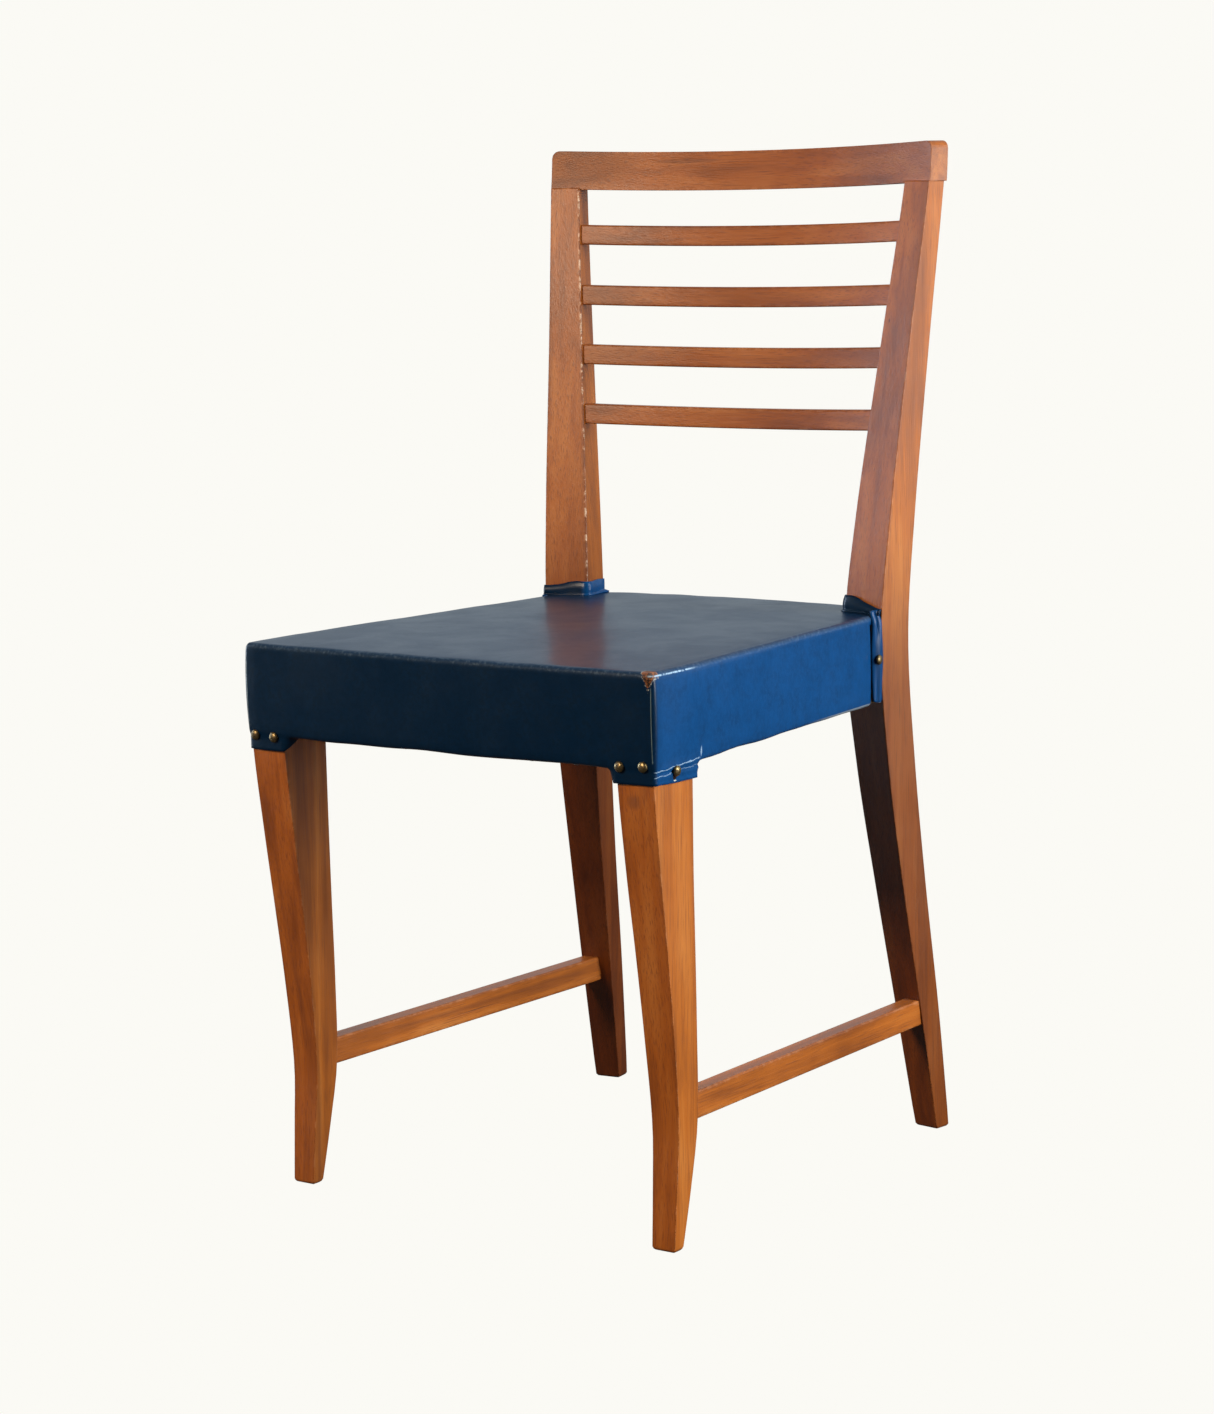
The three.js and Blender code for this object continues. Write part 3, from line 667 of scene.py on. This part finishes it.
def makeLeather():
    # one attribute is painted light: 1 on the lit sides, the inner faces of the cuffs and the
    # ridges of the tails; "edge" runs along the folded top arris
    shader = Shader("navyLeather")
    even = shader.place()
    cloud = shader.noise(even, 16, 4, 0.6, 0.4)
    blotch = shader.noise(even, 60, 4, 0.65)
    speck = shader.noise(even, 240, 4, 0.75)
    rough = shader.noise(even, 330, 4, 0.7)
    grainNoise = shader.noise(even, 900, 3, 0.6)
    creases = shader.noise(shader.place((1, 1, 0.35)), 140, 4, 0.7, 1.2)
    faded = shader.attribute("faded")
    edge = shader.attribute("edge")
    across, along, up = shader.axes()
    across, along, up = across * 1000, along * 1000 - depthShift / mm, up * 1000

    def markOrPaintedLight(colour, amount, tone):
        return shader.blend(amount, colour, (*leatherTones[tone], 1))

    # the dye, with painted light making it lighter and bluer on the sides, and its haze and
    # mottling
    bright = faded * shader.ramp(cloud, 0.2, 0.75, 0.8, 1.0)
    colour = shader.blend(bright, (*leatherTones["navy"], 1), (*leatherTones["litBlue"], 1))
    haze = shader.ramp(blotch, 0.42, 0.7, 0.0, 0.12) + shader.ramp(cloud, 0.5, 0.8, 0.0, 0.1)
    colour = markOrPaintedLight(colour, haze, "greyed")
    mottle = shader.ramp(speck, 0.38, 0.62, 0.7, 0.0) * shader.ramp(blotch, 0.35, 0.65, 0.4, 1.0)
    colour = markOrPaintedLight(colour, mottle * (faded * 0.7 + 0.3), "shaded")

    # the seam beside each front corner
    inFront = shader.ramp(along, seam["frontY"], seam["frontY"] - 2)
    span = (shader.ramp(up, seam["bottom"], seam["bottom"] + 2)
            * shader.ramp(up, seam["top"], seam["top"] - 3))
    seamLine = (shader.line(abs(across) - seam["x"], seam["halfWidth"], 0.4) * inFront * span
                * shader.ramp(blotch, 0.3, 0.5, 0.35, 0.8))
    colour = markOrPaintedLight(colour, seamLine * 0.5, "thread")

    # the three-cornered patch that is worn through, with its ragged pale edge
    ahead = shader.ramp(along, wornCorner["frontY"], wornCorner["frontY"] - 1)
    rise = (up - wornCorner["bottom"]) / (wornCorner["top"] - wornCorner["bottom"])
    reach = (rise * wornCorner["halfWidth"] + (rough - 0.5) * 5
             - abs(across - wornCorner["x"]))
    worn = shader.ramp(reach, 0, 0.5) * ahead
    rawEdge = shader.ramp(reach, -0.9, 0) * ahead * shader.ramp(rough, 0.42, 0.6) * (1 - worn)
    raw = shader.ramp(speck, 0.44, 0.58)
    bare = shader.blend(raw, (*leatherTones["torn"], 1), (*leatherTones["tan"], 1))
    colour = shader.blend(worn, colour, bare)
    colour = markOrPaintedLight(colour, rawEdge * 0.8, "pale")

    # a painted highlight along the top arris, most of all behind the right front corner
    rubbedOrHighlit = (shader.near(highlitEdge["centre"], highlitEdge["reach"])
              * shader.line(up - highlitEdge["line"], highlitEdge["halfWidth"]))
    edgeHighlight = (edge ** 4) * (shader.ramp(rough, 0.38, 0.5) * rubbedOrHighlit
                             + shader.ramp(rough, 0.45, 0.7, 0.03, 0.12))
    colour = markOrPaintedLight(colour, edgeHighlight, "rubbedOrHighlit")

    # painted highlights along the creases across the right lip, and on the pucker above them
    onLip = (shader.ramp(across, creaseStart["x"], creaseStart["x"] + 2)
             * shader.ramp(along, creaseStart["rearY"], creaseStart["rearY"] - 4))
    creaseHighlight = 0
    for line in lipCreases:
        off = (up - line["z"] - (along - creaseStart["cornerY"]) * line["rise"]
               - (blotch - 0.5) * creaseStart["waver"])
        creaseHighlight = shader.line(off, line["halfWidth"]) + creaseHighlight
    creaseHighlight = creaseHighlight * onLip * shader.ramp(rough, 0.3, 0.5, 0.5, 1)
    creaseHighlight = creaseHighlight + shader.near(puckerHighlight["centre"], puckerHighlight["reach"])
    colour = markOrPaintedLight(colour, creaseHighlight * 0.6, "rubbedOrHighlit")

    # the pale hem towards the back, and the tear below the side nail
    hem = (shader.ramp(up, paleHem["top"] + 0.5, paleHem["top"]) * faded
           * shader.ramp(along, paleHem["frontY"], paleHem["rearY"]))
    colour = markOrPaintedLight(colour, hem * 0.75, "hem")
    tear = shader.ramp(shader.near(nailTear["centre"], nailTear["reach"]), 0.3, 0.5)
    colour = markOrPaintedLight(colour, tear, "torn")
    tearLine = shader.ramp(shader.near(tearEdge["centre"], tearEdge["reach"]), 0.3, 0.5)
    colour = markOrPaintedLight(colour, tearLine * 0.9, "pale")

    gloss = (leatherTones["roughness"] + shader.ramp(cloud, 0.3, 0.7, -0.03, 0.04)
             + worn * 0.3 + shader.ramp(creases, 0.5, 0.8, 0.0, 0.04))
    relief = (grainNoise * 0.35 + creases * 0.3 + cloud * 0.3 - worn * 0.8 + seamLine * 0.5
              + creaseHighlight * 0.8)
    shader.finish({"Base Color": colour, "Roughness": gloss,
                   "Coat Weight": leatherTones["coat"],
                   "Specular IOR Level": leatherTones["sheen"],
                   "Coat Roughness": leatherTones["coatRoughness"],
                   "Normal": shader.bump(relief, 0.25, 0.0006)})
    return shader.material


# The seat cover, in millimetres: a sheet over the plan, whose free edge is drawn down the
# walls and then either turned under the rails or left as a lip over a front leg.
cover = dict(
    top=462.3,
    crown=2.6,
    crownReach=216,
    hideThickness=1.8,
    halfWidth=204.2,
    straightToY=-163,
    rearHalfWidth=172.6,
    rearCornerY=152.6,
    frontY=-215.2,
    frontBow=3.5,
    backY=215.4,
    postClear=0.9,
    slitY=147.5,
    notchX=120,
    wallRows=11,
    turnRows=8,
    turnTop=389.5,
    turnedBy=0.3,  # how much of the turned-under rows the bend itself takes
    hemBottom=386,
    hemWidth=15,
    hemRipple=1.4,
    lipBottom=374.6,
    lipIn=0.8,
    lipSag=1.2,
    lipRipple=1.2,
    foldHeight=1.6,
    folds=((386.5, 1.5, 1), (381, 1.3, 0.9)),  # height, breadth and strength of each
    swell=1.5,  # how far the walls belly out, and the front ones lean
    lean=0.9,
    arris=3.2,
    notchDrop=8,
    sheetRows=26,
    frontBandY=-206,  # what lies ahead of this is the front wall
    backBandY=170,
    lipFrontX=(156.5, 165.5),  # where each lip begins, and where it is full
    lipSideY=(-150, -155),
    lipRows=(-157, -155, -153.5, -152, -150),
)
sideSlope = ((cover["halfWidth"] - cover["rearHalfWidth"])
             / (cover["rearCornerY"] - cover["straightToY"]))


def seatHalf(y):
    return cover["halfWidth"] - sideSlope * max(y - cover["straightToY"], 0)


def frontEdge(x):
    return cover["frontY"] - cover["frontBow"] * (1 - (x / cover["halfWidth"]) ** 2)


def backEdge(x):
    return cover["backY"] + hollow(x, 0)


postFront = [Vector(postSpot(a, -cover["postClear"], cover["top"])[:2]) for a in (0, 42.2)]
postInner = [Vector(postSpot(42.2 + cover["postClear"], b, cover["top"])[:2]) for b in (0, 50)]


def postLine(x):
    # where the fronts of the posts cross the seat, and between them a straight line
    t = min(max((abs(x) - postFront[1].x) / (postFront[0].x - postFront[1].x), 0), 1)
    return lerp(postFront[1].y, postFront[0].y, t)


def innerLine(y):
    # the inner faces of the posts
    t = max((y - postInner[0].y) / (postInner[1].y - postInner[0].y), 0)
    return lerp(postInner[0].x, postInner[1].x, t)


notchColumn, notchRow = 0.1, 0.88


def seatPlace(u, v, inset):
    x = (2 * u - 1) * cover["halfWidth"]
    for _ in range(3):
        front, middle, rear = frontEdge(x) + inset, postLine(x), backEdge(x) - inset
        if v <= notchRow:
            y = lerp(front, middle, v / notchRow)
        else:
            y = lerp(middle, rear, (v - notchRow) / (1 - notchRow))
        half, inner = seatHalf(y) - inset, innerLine(y)
        across = min(u, 1 - u)
        if across < notchColumn:
            size = lerp(half, inner, across / notchColumn)
        else:
            size = lerp(inner, 0, (across - notchColumn) / (0.5 - notchColumn))
        x = size if u > 0.5 else -size
    return x, y


def seatSheet(inset, slit=None):
    # the plan as a grid, with the two rear corners taken out for the posts
    bm = bmesh.new()
    bmesh.ops.create_grid(bm, x_segments=1, y_segments=1, size=0.5)
    bmesh.ops.translate(bm, verts=bm.verts, vec=(0.5, 0.5, 0))
    columns = sorted({0.02, 0.04, 0.045, 0.05, 0.055, 0.06, 0.065, 0.08, notchColumn, 0.5}
                     | {notchColumn + i * 0.4 / 16 for i in range(1, 16)})
    columns = sorted(set(columns) | {1 - c for c in columns})
    count = cover["sheetRows"]
    edge, post = cover["frontY"], postLine(cover["halfWidth"])
    rows = ({0.012, 0.025, 0.04, 0.06} | {i * notchRow / count for i in range(2, count + 1)}
            | {notchRow + i * (1 - notchRow) / 4 for i in range(1, 4)}
            | {notchRow * (y - edge) / (post - edge) for y in cover["lipRows"]})
    rows = sorted(rows | {slit} if slit else rows)
    for spot, normal in [((c, 0, 0), (1, 0, 0)) for c in columns] + [((0, r, 0), (0, 1, 0))
                                                                    for r in rows]:
        bmesh.ops.bisect_plane(bm, geom=bm.verts[:] + bm.edges[:] + bm.faces[:],
                               plane_co=spot, plane_no=normal)
    cut = [f for f in bm.faces if f.calc_center_median().y > notchRow
           and min(f.calc_center_median().x, 1 - f.calc_center_median().x) < notchColumn]
    bmesh.ops.delete(bm, geom=cut, context="FACES")
    for vert in bm.verts:
        x, y = seatPlace(vert.co.x, vert.co.y, inset)
        vert.co = (x, y, 0)
    return bm


def crownAt(x, y):
    across = 1 - min(abs(x) / seatHalf(y), 1) ** 2
    along = 1 - min(abs(y) / cover["crownReach"], 1) ** 2
    return cover["crown"] * math.sqrt(max(across * along, 0))


def lipShare(x, y):
    # 1 where the cover's edge lies on a front leg
    if y < cover["frontBandY"]:
        return smoothStep(*cover["lipFrontX"], abs(x))
    return smoothStep(*cover["lipSideY"], y) if y < 0 else 0


def isNotch(x, y):
    return y > cover["slitY"] + 0.5 and y < backEdge(x) - 3 and abs(x) > cover["notchX"]


def inward(x, y):
    if y < cover["frontBandY"]:
        return Vector((0, 1, 0))
    if y > cover["backBandY"]:
        return Vector((0, -1, 0))
    return Vector((-1 if x > 0 else 1, 0, 0))


def ripple(t, strength):
    return strength * noise.noise(Vector((t * 0.021, 3.7, 1.3)))


def edgePlace(x, y, t):
    # along the turned-under part of the edge: t runs from 0 at the wall to 1 at the raw edge
    share = lipShare(x, y)
    bend, top = cover["turnedBy"], cover["turnTop"]
    wave = ripple(x + y * 1.3, cover["hemRipple"]) * (1 - share)
    deep = top - cover["hemBottom"]
    if t < bend:
        around = t / bend * math.pi / 2
        hem = (deep * (1 - math.cos(around)), top - deep * math.sin(around))
    else:
        hem = (lerp(deep, cover["hemWidth"], (t - bend) / (1 - bend)), cover["hemBottom"])
    lipEnd = (cover["lipBottom"] + ripple(x - y, cover["lipRipple"])
              - cover["lipSag"] * smoothStep(-210, -190, y))
    lipIn = cover["lipIn"] * smoothStep(0, 0.25, t)
    return lerp(hem[0], lipIn, share), lerp(hem[1] + wave, lerp(top, lipEnd, t), share)


def lipFolds(y, z):
    # two creases cross the side of each lip
    if y < cover["frontBandY"] or y > cover["lipSideY"][0]:
        return 0
    rise = sum(strength * math.exp(-((z - height) / breadth) ** 2)
               for height, breadth, strength in cover["folds"])
    return cover["foldHeight"] * rise * smoothStep(-214, cover["frontBandY"], y)


def wallLean(y, z):
    # the walls swell below the top edge and draw in to the legs
    up = (z - cover["hemBottom"]) / (cover["top"] - cover["hemBottom"])
    up = min(max(up, 0), 1)
    atFront = smoothStep(60, -200, y)
    swell = cover["swell"] * math.sin(math.pi * min(up * 1.05, 1)) ** 0.8
    return swell * lerp(0.5, 1, atFront) + cover["lean"] * up * atFront


def makeCover(leatherSkin):
    slit = notchRow * ((cover["slitY"] - frontEdge(175)) / (postLine(175) - frontEdge(175)))
    bm = seatSheet(0, slit)
    faded = bm.verts.layers.float.new("faded")
    edgeLayer = bm.verts.layers.float.new("edge")
    edges = rim = [e for e in bm.edges if e.is_boundary]
    plan = {v: (v.co.x, v.co.y) for e in rim for v in e.verts}
    for row in range(1, cover["wallRows"] + cover["turnRows"] + 1):
        made = bmesh.ops.extrude_edge_only(bm, edges=edges)["geom"]
        verts = [g for g in made if isinstance(g, bmesh.types.BMVert)]
        edges = [g for g in made if isinstance(g, bmesh.types.BMEdge) and g.is_boundary]
        old = {}
        for vert in verts:
            for link in vert.link_edges:
                other = link.other_vert(vert)
                if other in plan and other not in verts:
                    old[vert] = plan[other]
        plan.update(old)
        for vert in verts:
            x, y = plan[vert]
            if row <= cover["wallRows"]:
                vert.co.z = lerp(0, cover["turnTop"] - cover["top"], row / cover["wallRows"])
            else:
                into, z = edgePlace(x, y, (row - cover["wallRows"]) / cover["turnRows"])
                vert.co = Vector((x, y, z - cover["top"])) + inward(x, y) * into
    # the walls beside the posts are only turned down, and the slit is left open
    spare = []
    for face in bm.faces:
        middle = face.calc_center_median()
        if middle.z < -cover["notchDrop"] and isNotch(middle.x, middle.y):
            spare.append(face)
    bmesh.ops.delete(bm, geom=spare, context="FACES")
    upright = [e for e in bm.edges if abs(e.verts[0].co.y - e.verts[1].co.y) < 0.8
               and abs(abs(e.verts[0].co.x) - cover["halfWidth"]) < 1.2
               and e.verts[0].co.y < cover["frontY"] + 2 and e.verts[1].co.y < cover["frontY"] + 2
               and abs(e.verts[0].co.z - e.verts[1].co.z) > 0.5]
    bmesh.ops.recalc_face_normals(bm, faces=bm.faces)
    rounded = bmesh.ops.bevel(bm, geom=[e for e in rim if e.is_valid] + upright,
                              offset=cover["arris"], offset_type="OFFSET", affect="EDGES",
                              segments=4, profile=0.5, material=-1, clamp_overlap=True)
    for vert in rounded["verts"]:
        vert[edgeLayer] = smoothStep(-6, -3, vert.co.z)
    for vert in bm.verts:
        x, y, z = vert.co.x, vert.co.y, vert.co.z + cover["top"]
        onTop = smoothStep(-4, -0.5, vert.co.z)
        onSide = smoothStep(9, 2, seatHalf(y) - abs(x)) * (1 - onTop)
        onFront = smoothStep(9, 2, y - frontEdge(x)) * (1 - onTop)
        push = wallLean(y, z) * (1 - onTop) + lipFolds(y, z)
        if onSide > 0:
            vert.co.x += math.copysign(push * onSide, x)
        if onFront > 0:
            vert.co.y -= 0.45 * push * onFront
        vert.co.z += crownAt(x, y) * onTop
        vert.co.z += ripple(x * 2 + y, 0.5) * onTop
        # painted light: the side walls are lit lighter and bluer, and the top a little
        vert[faded] = min(onSide * smoothStep(-213.5, -209, y) + 0.12 * onTop, 1)
    for vert in bm.verts:
        vert.co = inMetres((vert.co.x, vert.co.y, vert.co.z + cover["top"]))
    bmesh.ops.recalc_face_normals(bm, faces=bm.faces)
    highest = max(bm.faces, key=lambda f: f.calc_center_median().z)
    if highest.normal.z < 0:
        bmesh.ops.reverse_faces(bm, faces=bm.faces)
    piece = addPiece("seat_cover_hide", bm, leatherSkin, ["seat_cover"])
    thicken(piece, cover["hideThickness"], -1)
    print("seat cover is drawn over the frame")


pad = dict(top=460.2, thickness=3.4, inset=5)


def makePad(waddingSkin):
    bm = seatSheet(pad["inset"])
    for vert in bm.verts:
        vert.co = inMetres((vert.co.x, vert.co.y,
                            pad["top"] + crownAt(vert.co.x, vert.co.y) * 0.8))
    bmesh.ops.recalc_face_normals(bm, faces=bm.faces)
    if sum(f.normal.z for f in bm.faces) < 0:
        bmesh.ops.reverse_faces(bm, faces=bm.faces)
    piece = addPiece("wadding", bm, waddingSkin, ["seat_pad"])
    thicken(piece, pad["thickness"], -1)
    print("wadding is laid")


# The cuffs: a band of hide round the front and inner face of each rear post, standing on the
# seat with its foot spread, and a tail that is gathered and nailed down the seat's side.
cuff = dict(
    height=465,  # where the post's section is read
    foot=461.6,
    tops=dict(right=(466.5, 470.5, 476.5, 474.5), left=(470.5, 472, 475, 474.5)),
    clear=0.4,
    spread=3,
    swell=1.4,
    shortOfBack=3,
    cornerRadius=2,
    thickness=1.7,
    grid=(46, 10),
    flat=(0.078, 0.015),
)
tail = dict(
    frontY=151.4,
    rearY=164,
    top=dict(right=467, left=463),
    bottom=388.5,
    standOff=1.3,
    swell=3,
    footRise=1.5,
    tuckedIn=2.6,
    tuckFrom=456,
    foldDepth=1.1,
    foldCount=2.1,
    gatherFrom=432,
    thickness=1.6,
    grid=(16, 44),
    flat=(0.0155, 0.08),
)


def sheetGrid(columns, rows):
    bm = bmesh.new()
    bmesh.ops.create_grid(bm, x_segments=1, y_segments=1, size=0.5)
    bmesh.ops.translate(bm, verts=bm.verts, vec=(0.5, 0.5, 0))
    for count, normal in ((columns, Vector((1, 0, 0))), (rows, Vector((0, 1, 0)))):
        for i in range(1, count):
            bmesh.ops.bisect_plane(bm, geom=bm.verts[:] + bm.edges[:] + bm.faces[:],
                                   plane_co=normal * (i / count), plane_no=normal)
    return bm


def cuffPlace(s, t, side):
    # s runs round the post from its outer front edge to its back, t up the cuff
    section = postSection(cuff["height"])
    width, depth, radius = section["width"], section["depth"], cuff["cornerRadius"]
    lengths = (width - radius, radius * math.pi / 2, depth - radius - cuff["shortOfBack"])
    run = s * sum(lengths)
    atBack = smoothStep(0.8, 1, s)
    tops = cuff["tops"][side]
    spread = (cuff["clear"] + cuff["spread"] * (1 + atBack) * max(1 - t / 0.22, 0) ** 2
              + cuff["swell"] * (1 - 0.9 * atBack) * math.sin(math.pi * t) ** 0.8)
    if run < lengths[0]:
        across, behind = run, -spread
        top = lerp(tops[0], tops[1], smoothStep(0, 16, run))
        top = lerp(top, tops[2], smoothStep(12, lengths[0] * 0.9, run))
    elif run < lengths[0] + lengths[1]:
        turn = (run - lengths[0]) / radius
        across = width - radius + (radius + spread) * math.sin(turn)
        behind = radius - (radius + spread) * math.cos(turn)
        top = tops[2]
    else:
        behind = radius + run - lengths[0] - lengths[1]
        across = width + spread
        top = lerp(tops[2], tops[3], (behind - radius) / lengths[2])
    top += ripple(run * 3, 1)
    foot = cuff["foot"] + crownAt(150, 160)
    return postSpot(across, behind, lerp(foot, top, t))


def tailPlace(s, t, side):
    y = lerp(tail["frontY"], tail["rearY"], s)
    top = tail["top"][side]
    z = lerp(tail["bottom"] + tail["footRise"] * (2 * s - 1) ** 2, top, t)
    gather = smoothStep(tail["gatherFrom"], top - 6, z)
    low = smoothStep(432, 395, z) * 0.5
    fold = tail["foldDepth"] * math.sin(2 * math.pi * tail["foldCount"] * s) * max(gather, low)
    belly = lerp(0.35, 1, math.sin(math.pi * t))
    bulge = tail["swell"] * (1 - (2 * s - 1.3) ** 2) * belly + ripple(z * 2, 0.5)
    tuck = tail["tuckedIn"] * smoothStep(tail["tuckFrom"], tail["top"]["right"], z)
    x = seatHalf(y) + tail["standOff"] + bulge + fold - tuck
    return x, y + 0.5 * gather, z


def makeCuffs(leatherSkin):
    for side, mirrored in sides:
        for name, place, shape in (("cuff", cuffPlace, cuff), ("cuff_tail", tailPlace, tail)):
            bm = sheetGrid(*shape["grid"])
            faded = bm.verts.layers.float.new("faded")
            edgeLayer = bm.verts.layers.float.new("edge")
            for vert in bm.verts:
                s, t = vert.co.x, vert.co.y
                vert.co = inMetres(place(s, t, side))
                if name == "cuff":
                    # painted light: the inner face of each cuff is lit lighter and bluer, the left
                    # one most
                    vert[faded] = smoothStep(0.5, 0.56, s) * (0.25 if side == "right" else 1.0)
                    vert[edgeLayer] = smoothStep(0.85, 1, t) * 0.4
                else:
                    # painted highlights on the ridges of the tail's folds
                    ridge = math.sin(2 * math.pi * tail["foldCount"] * s)
                    vert[faded] = 0.45 + 0.5 * max(ridge, 0)
            bmesh.ops.recalc_face_normals(bm, faces=bm.faces)
            outward = Vector((0, -1, 0)) if name == "cuff" else Vector((1, 0, 0))
            if sum(f.normal.dot(outward) for f in bm.faces) < 0:
                bmesh.ops.reverse_faces(bm, faces=bm.faces)
            piece = addPiece(f"{name}_{side}", bm, leatherSkin, [f"post_cuff_{side}"],
                             mirrored=mirrored)
            thicken(piece, shape["thickness"], 1)
    print("cuffs are stitched round the posts")


# Domed nails, with the places where their heads sit, in millimetres.
nail = dict(headRadius=4.3, headHeight=2.7, rimHeight=0.5, shankRadius=0.9, shankLength=11)
nailPlaces = {
    "leg_nail_front_outer_right": ((194.3, -215.9, 389.8), (0, -1, 0)),
    "leg_nail_front_inner_right": ((172.8, -216.7, 388.6), (0, -1, 0)),
    "leg_nail_side_right": ((205.3, -186.8, 383.6), (1, 0, -0.1)),
    "cuff_nail_right": ((177.1, 155.4, 425.5), (1, 0.1, 0)),
    "leg_nail_front_outer_left": ((-196.0, -215.8, 386.4), (0, -1, 0)),
    "leg_nail_front_inner_left": ((-175.6, -216.6, 385.8), (0, -1, 0)),
    "leg_nail_side_left": ((-205.3, -187, 384), (-1, 0, -0.05)),
    "cuff_nail_left": ((-177.1, 155.5, 425.2), (-1, 0.1, 0)),
}


def nailProfile(shape):
    dome = [(shape["headRadius"], 0), (shape["headRadius"] * 1.02, shape["rimHeight"])]
    for i in range(1, 6):
        angle = i / 6 * math.pi / 2
        dome.append((shape["headRadius"] * math.cos(angle),
                     lerp(shape["rimHeight"], shape["headHeight"], math.sin(angle))))
    shank = [(0, -shape["shankLength"]), (shape["shankRadius"], -shape["shankLength"] + 2),
             (shape["shankRadius"], 0)]
    return shank + dome + [(0, shape["headHeight"])]


def spun(bm, profile, steps, spot, facing):
    # a turned solid, stood on a spot and pointed along its facing
    before = set(bm.verts)
    verts = [bm.verts.new((r, 0, h)) for r, h in profile]
    edges = [bm.edges.new(pair) for pair in zip(verts, verts[1:])]
    bmesh.ops.spin(bm, geom=verts + edges, cent=(0, 0, 0), axis=(0, 0, 1),
                   angle=2 * math.pi, steps=steps, use_merge=True)
    turn = Vector((0, 0, 1)).rotation_difference(Vector(facing).normalized())
    for vert in bm.verts:
        if vert not in before:
            vert.co = inMetres(Vector(spot) + turn @ vert.co)


def makeNails(brass):
    for node, (spot, facing) in nailPlaces.items():
        bm = bmesh.new()
        spun(bm, nailProfile(nail), 20, spot, facing)
        bmesh.ops.remove_doubles(bm, verts=bm.verts, dist=1e-6)
        bmesh.ops.recalc_face_normals(bm, faces=bm.faces)
        addPiece(f"dome_{node}", bm, brass, [node])
    print("nails are driven")


tack = dict(headRadius=2.6, headHeight=1, rimHeight=0.3, shankRadius=0.6, shankLength=6,
            inset=10, spacing=42)


def makeTacks(steel):
    bm = bmesh.new()
    spots = []
    for i in range(-3, 4):
        x = i * tack["spacing"]
        spots.append((x, frontEdge(x) + tack["inset"]))
        spots.append((x * 0.8, backEdge(x * 0.8) - tack["inset"]))
        y = i * tack["spacing"]
        for sign in (-1, 1):
            spots.append((sign * (seatHalf(y) - tack["inset"]), y))
    for x, y in spots:
        spun(bm, nailProfile(tack), 10, (x, y, cover["hemBottom"] - 0.1), (0, 0, -1))
    bmesh.ops.remove_doubles(bm, verts=bm.verts, dist=1e-6)
    bmesh.ops.recalc_face_normals(bm, faces=bm.faces)
    addPiece("hem_tacks", bm, steel)
    print("hem is tacked under the rails")


# Materials for the small and hidden things.
def makeMetal(name, bright, dull, roughness, scale=420):
    shader = Shader(name)
    even = shader.place()
    tarnish = shader.noise(even, scale, 4, 0.65)
    fine = shader.noise(even, scale * 4, 2, 0.5)
    spread = shader.ramp(tarnish, 0.4, 0.62)
    colour = shader.blend(spread, (*bright, 1), (*dull, 1))
    shader.finish({"Base Color": colour, "Metallic": 1.0 - spread * 0.25,
                   "Roughness": roughness + spread * 0.25 + fine * 0.1,
                   "Normal": shader.bump(tarnish * 0.7 + fine * 0.3, 0.4, 0.0004)})
    return shader.material


def makeRawWood(name, light, dark, grain):
    shader = Shader(name)
    stretch = [1.0, 1.0, 1.0]
    stretch[grain] = 0.05
    bands = shader.noise(shader.place(stretch), 90, 4, 0.6, 0.8)
    fuzz = shader.noise(shader.place(), 700, 3, 0.6)
    colour = shader.blend(shader.ramp(bands, 0.35, 0.65), (*light, 1), (*dark, 1))
    shader.finish({"Base Color": colour, "Roughness": 0.7 + fuzz * 0.2,
                   "Normal": shader.bump(bands * 0.5 + fuzz * 0.5, 0.3, 0.0006)})
    return shader.material


def makeWadding():
    shader = Shader("cottonWadding")
    lumps = shader.noise(shader.place(), 120, 4, 0.7)
    colour = shader.blend(lumps, (0.62, 0.57, 0.47, 1), (0.8, 0.76, 0.67, 1))
    shader.finish({"Base Color": colour, "Roughness": 0.95,
                   "Normal": shader.bump(lumps, 0.5, 0.001)})
    return shader.material


def finishHiddenNodes(steel):
    light, dark = (0.5, 0.33, 0.17), (0.38, 0.22, 0.1)
    lengthwise = makeRawWood("rawBeechLengthwise", light, dark, 1)
    crosswise = makeRawWood("rawBeechAcross", light, dark, 0)
    upright = makeRawWood("rawBeechUpright", light, dark, 2)
    board = makeRawWood("plywoodBoard", (0.52, 0.37, 0.2), (0.4, 0.26, 0.13), 0)
    finishes = {"side_rail": lengthwise, "front_rail": crosswise, "rear_rail": crosswise,
                "front_corner_block": upright, "rear_corner_block": upright,
                "seat_board": board, "crest_dowel": upright,
                "front_block_screw": steel, "rear_block_screw": steel}
    for name, node in nodes.items():
        for start, material in finishes.items():
            if name.startswith(start):
                for slot in node.material_slots:
                    slot.material = material
    print("frame inside the seat is finished")


makeCamera()
makeStudio()
upright = makeWood("lacqueredUpright", 2, 1.0)
crossGrain = makeWood("lacqueredAcross", 0, 2.0)
lengthGrain = makeWood("lacqueredLengthwise", 1, 3.0)
leatherSkin = makeLeather()
brass = makeMetal("agedBrass", (0.3, 0.22, 0.1), (0.08, 0.055, 0.03), 0.26)
steel = makeMetal("dullSteel", (0.42, 0.42, 0.43), (0.2, 0.17, 0.15), 0.4)
makeFrontLegs(upright)
makeRearPosts(upright)
makeCrest(crossGrain)
makeSlats(crossGrain)
makeStretchers(lengthGrain)
makePad(makeWadding())
makeCover(leatherSkin)
makeCuffs(leatherSkin)
makeNails(brass)
makeTacks(steel)
finishHiddenNodes(steel)
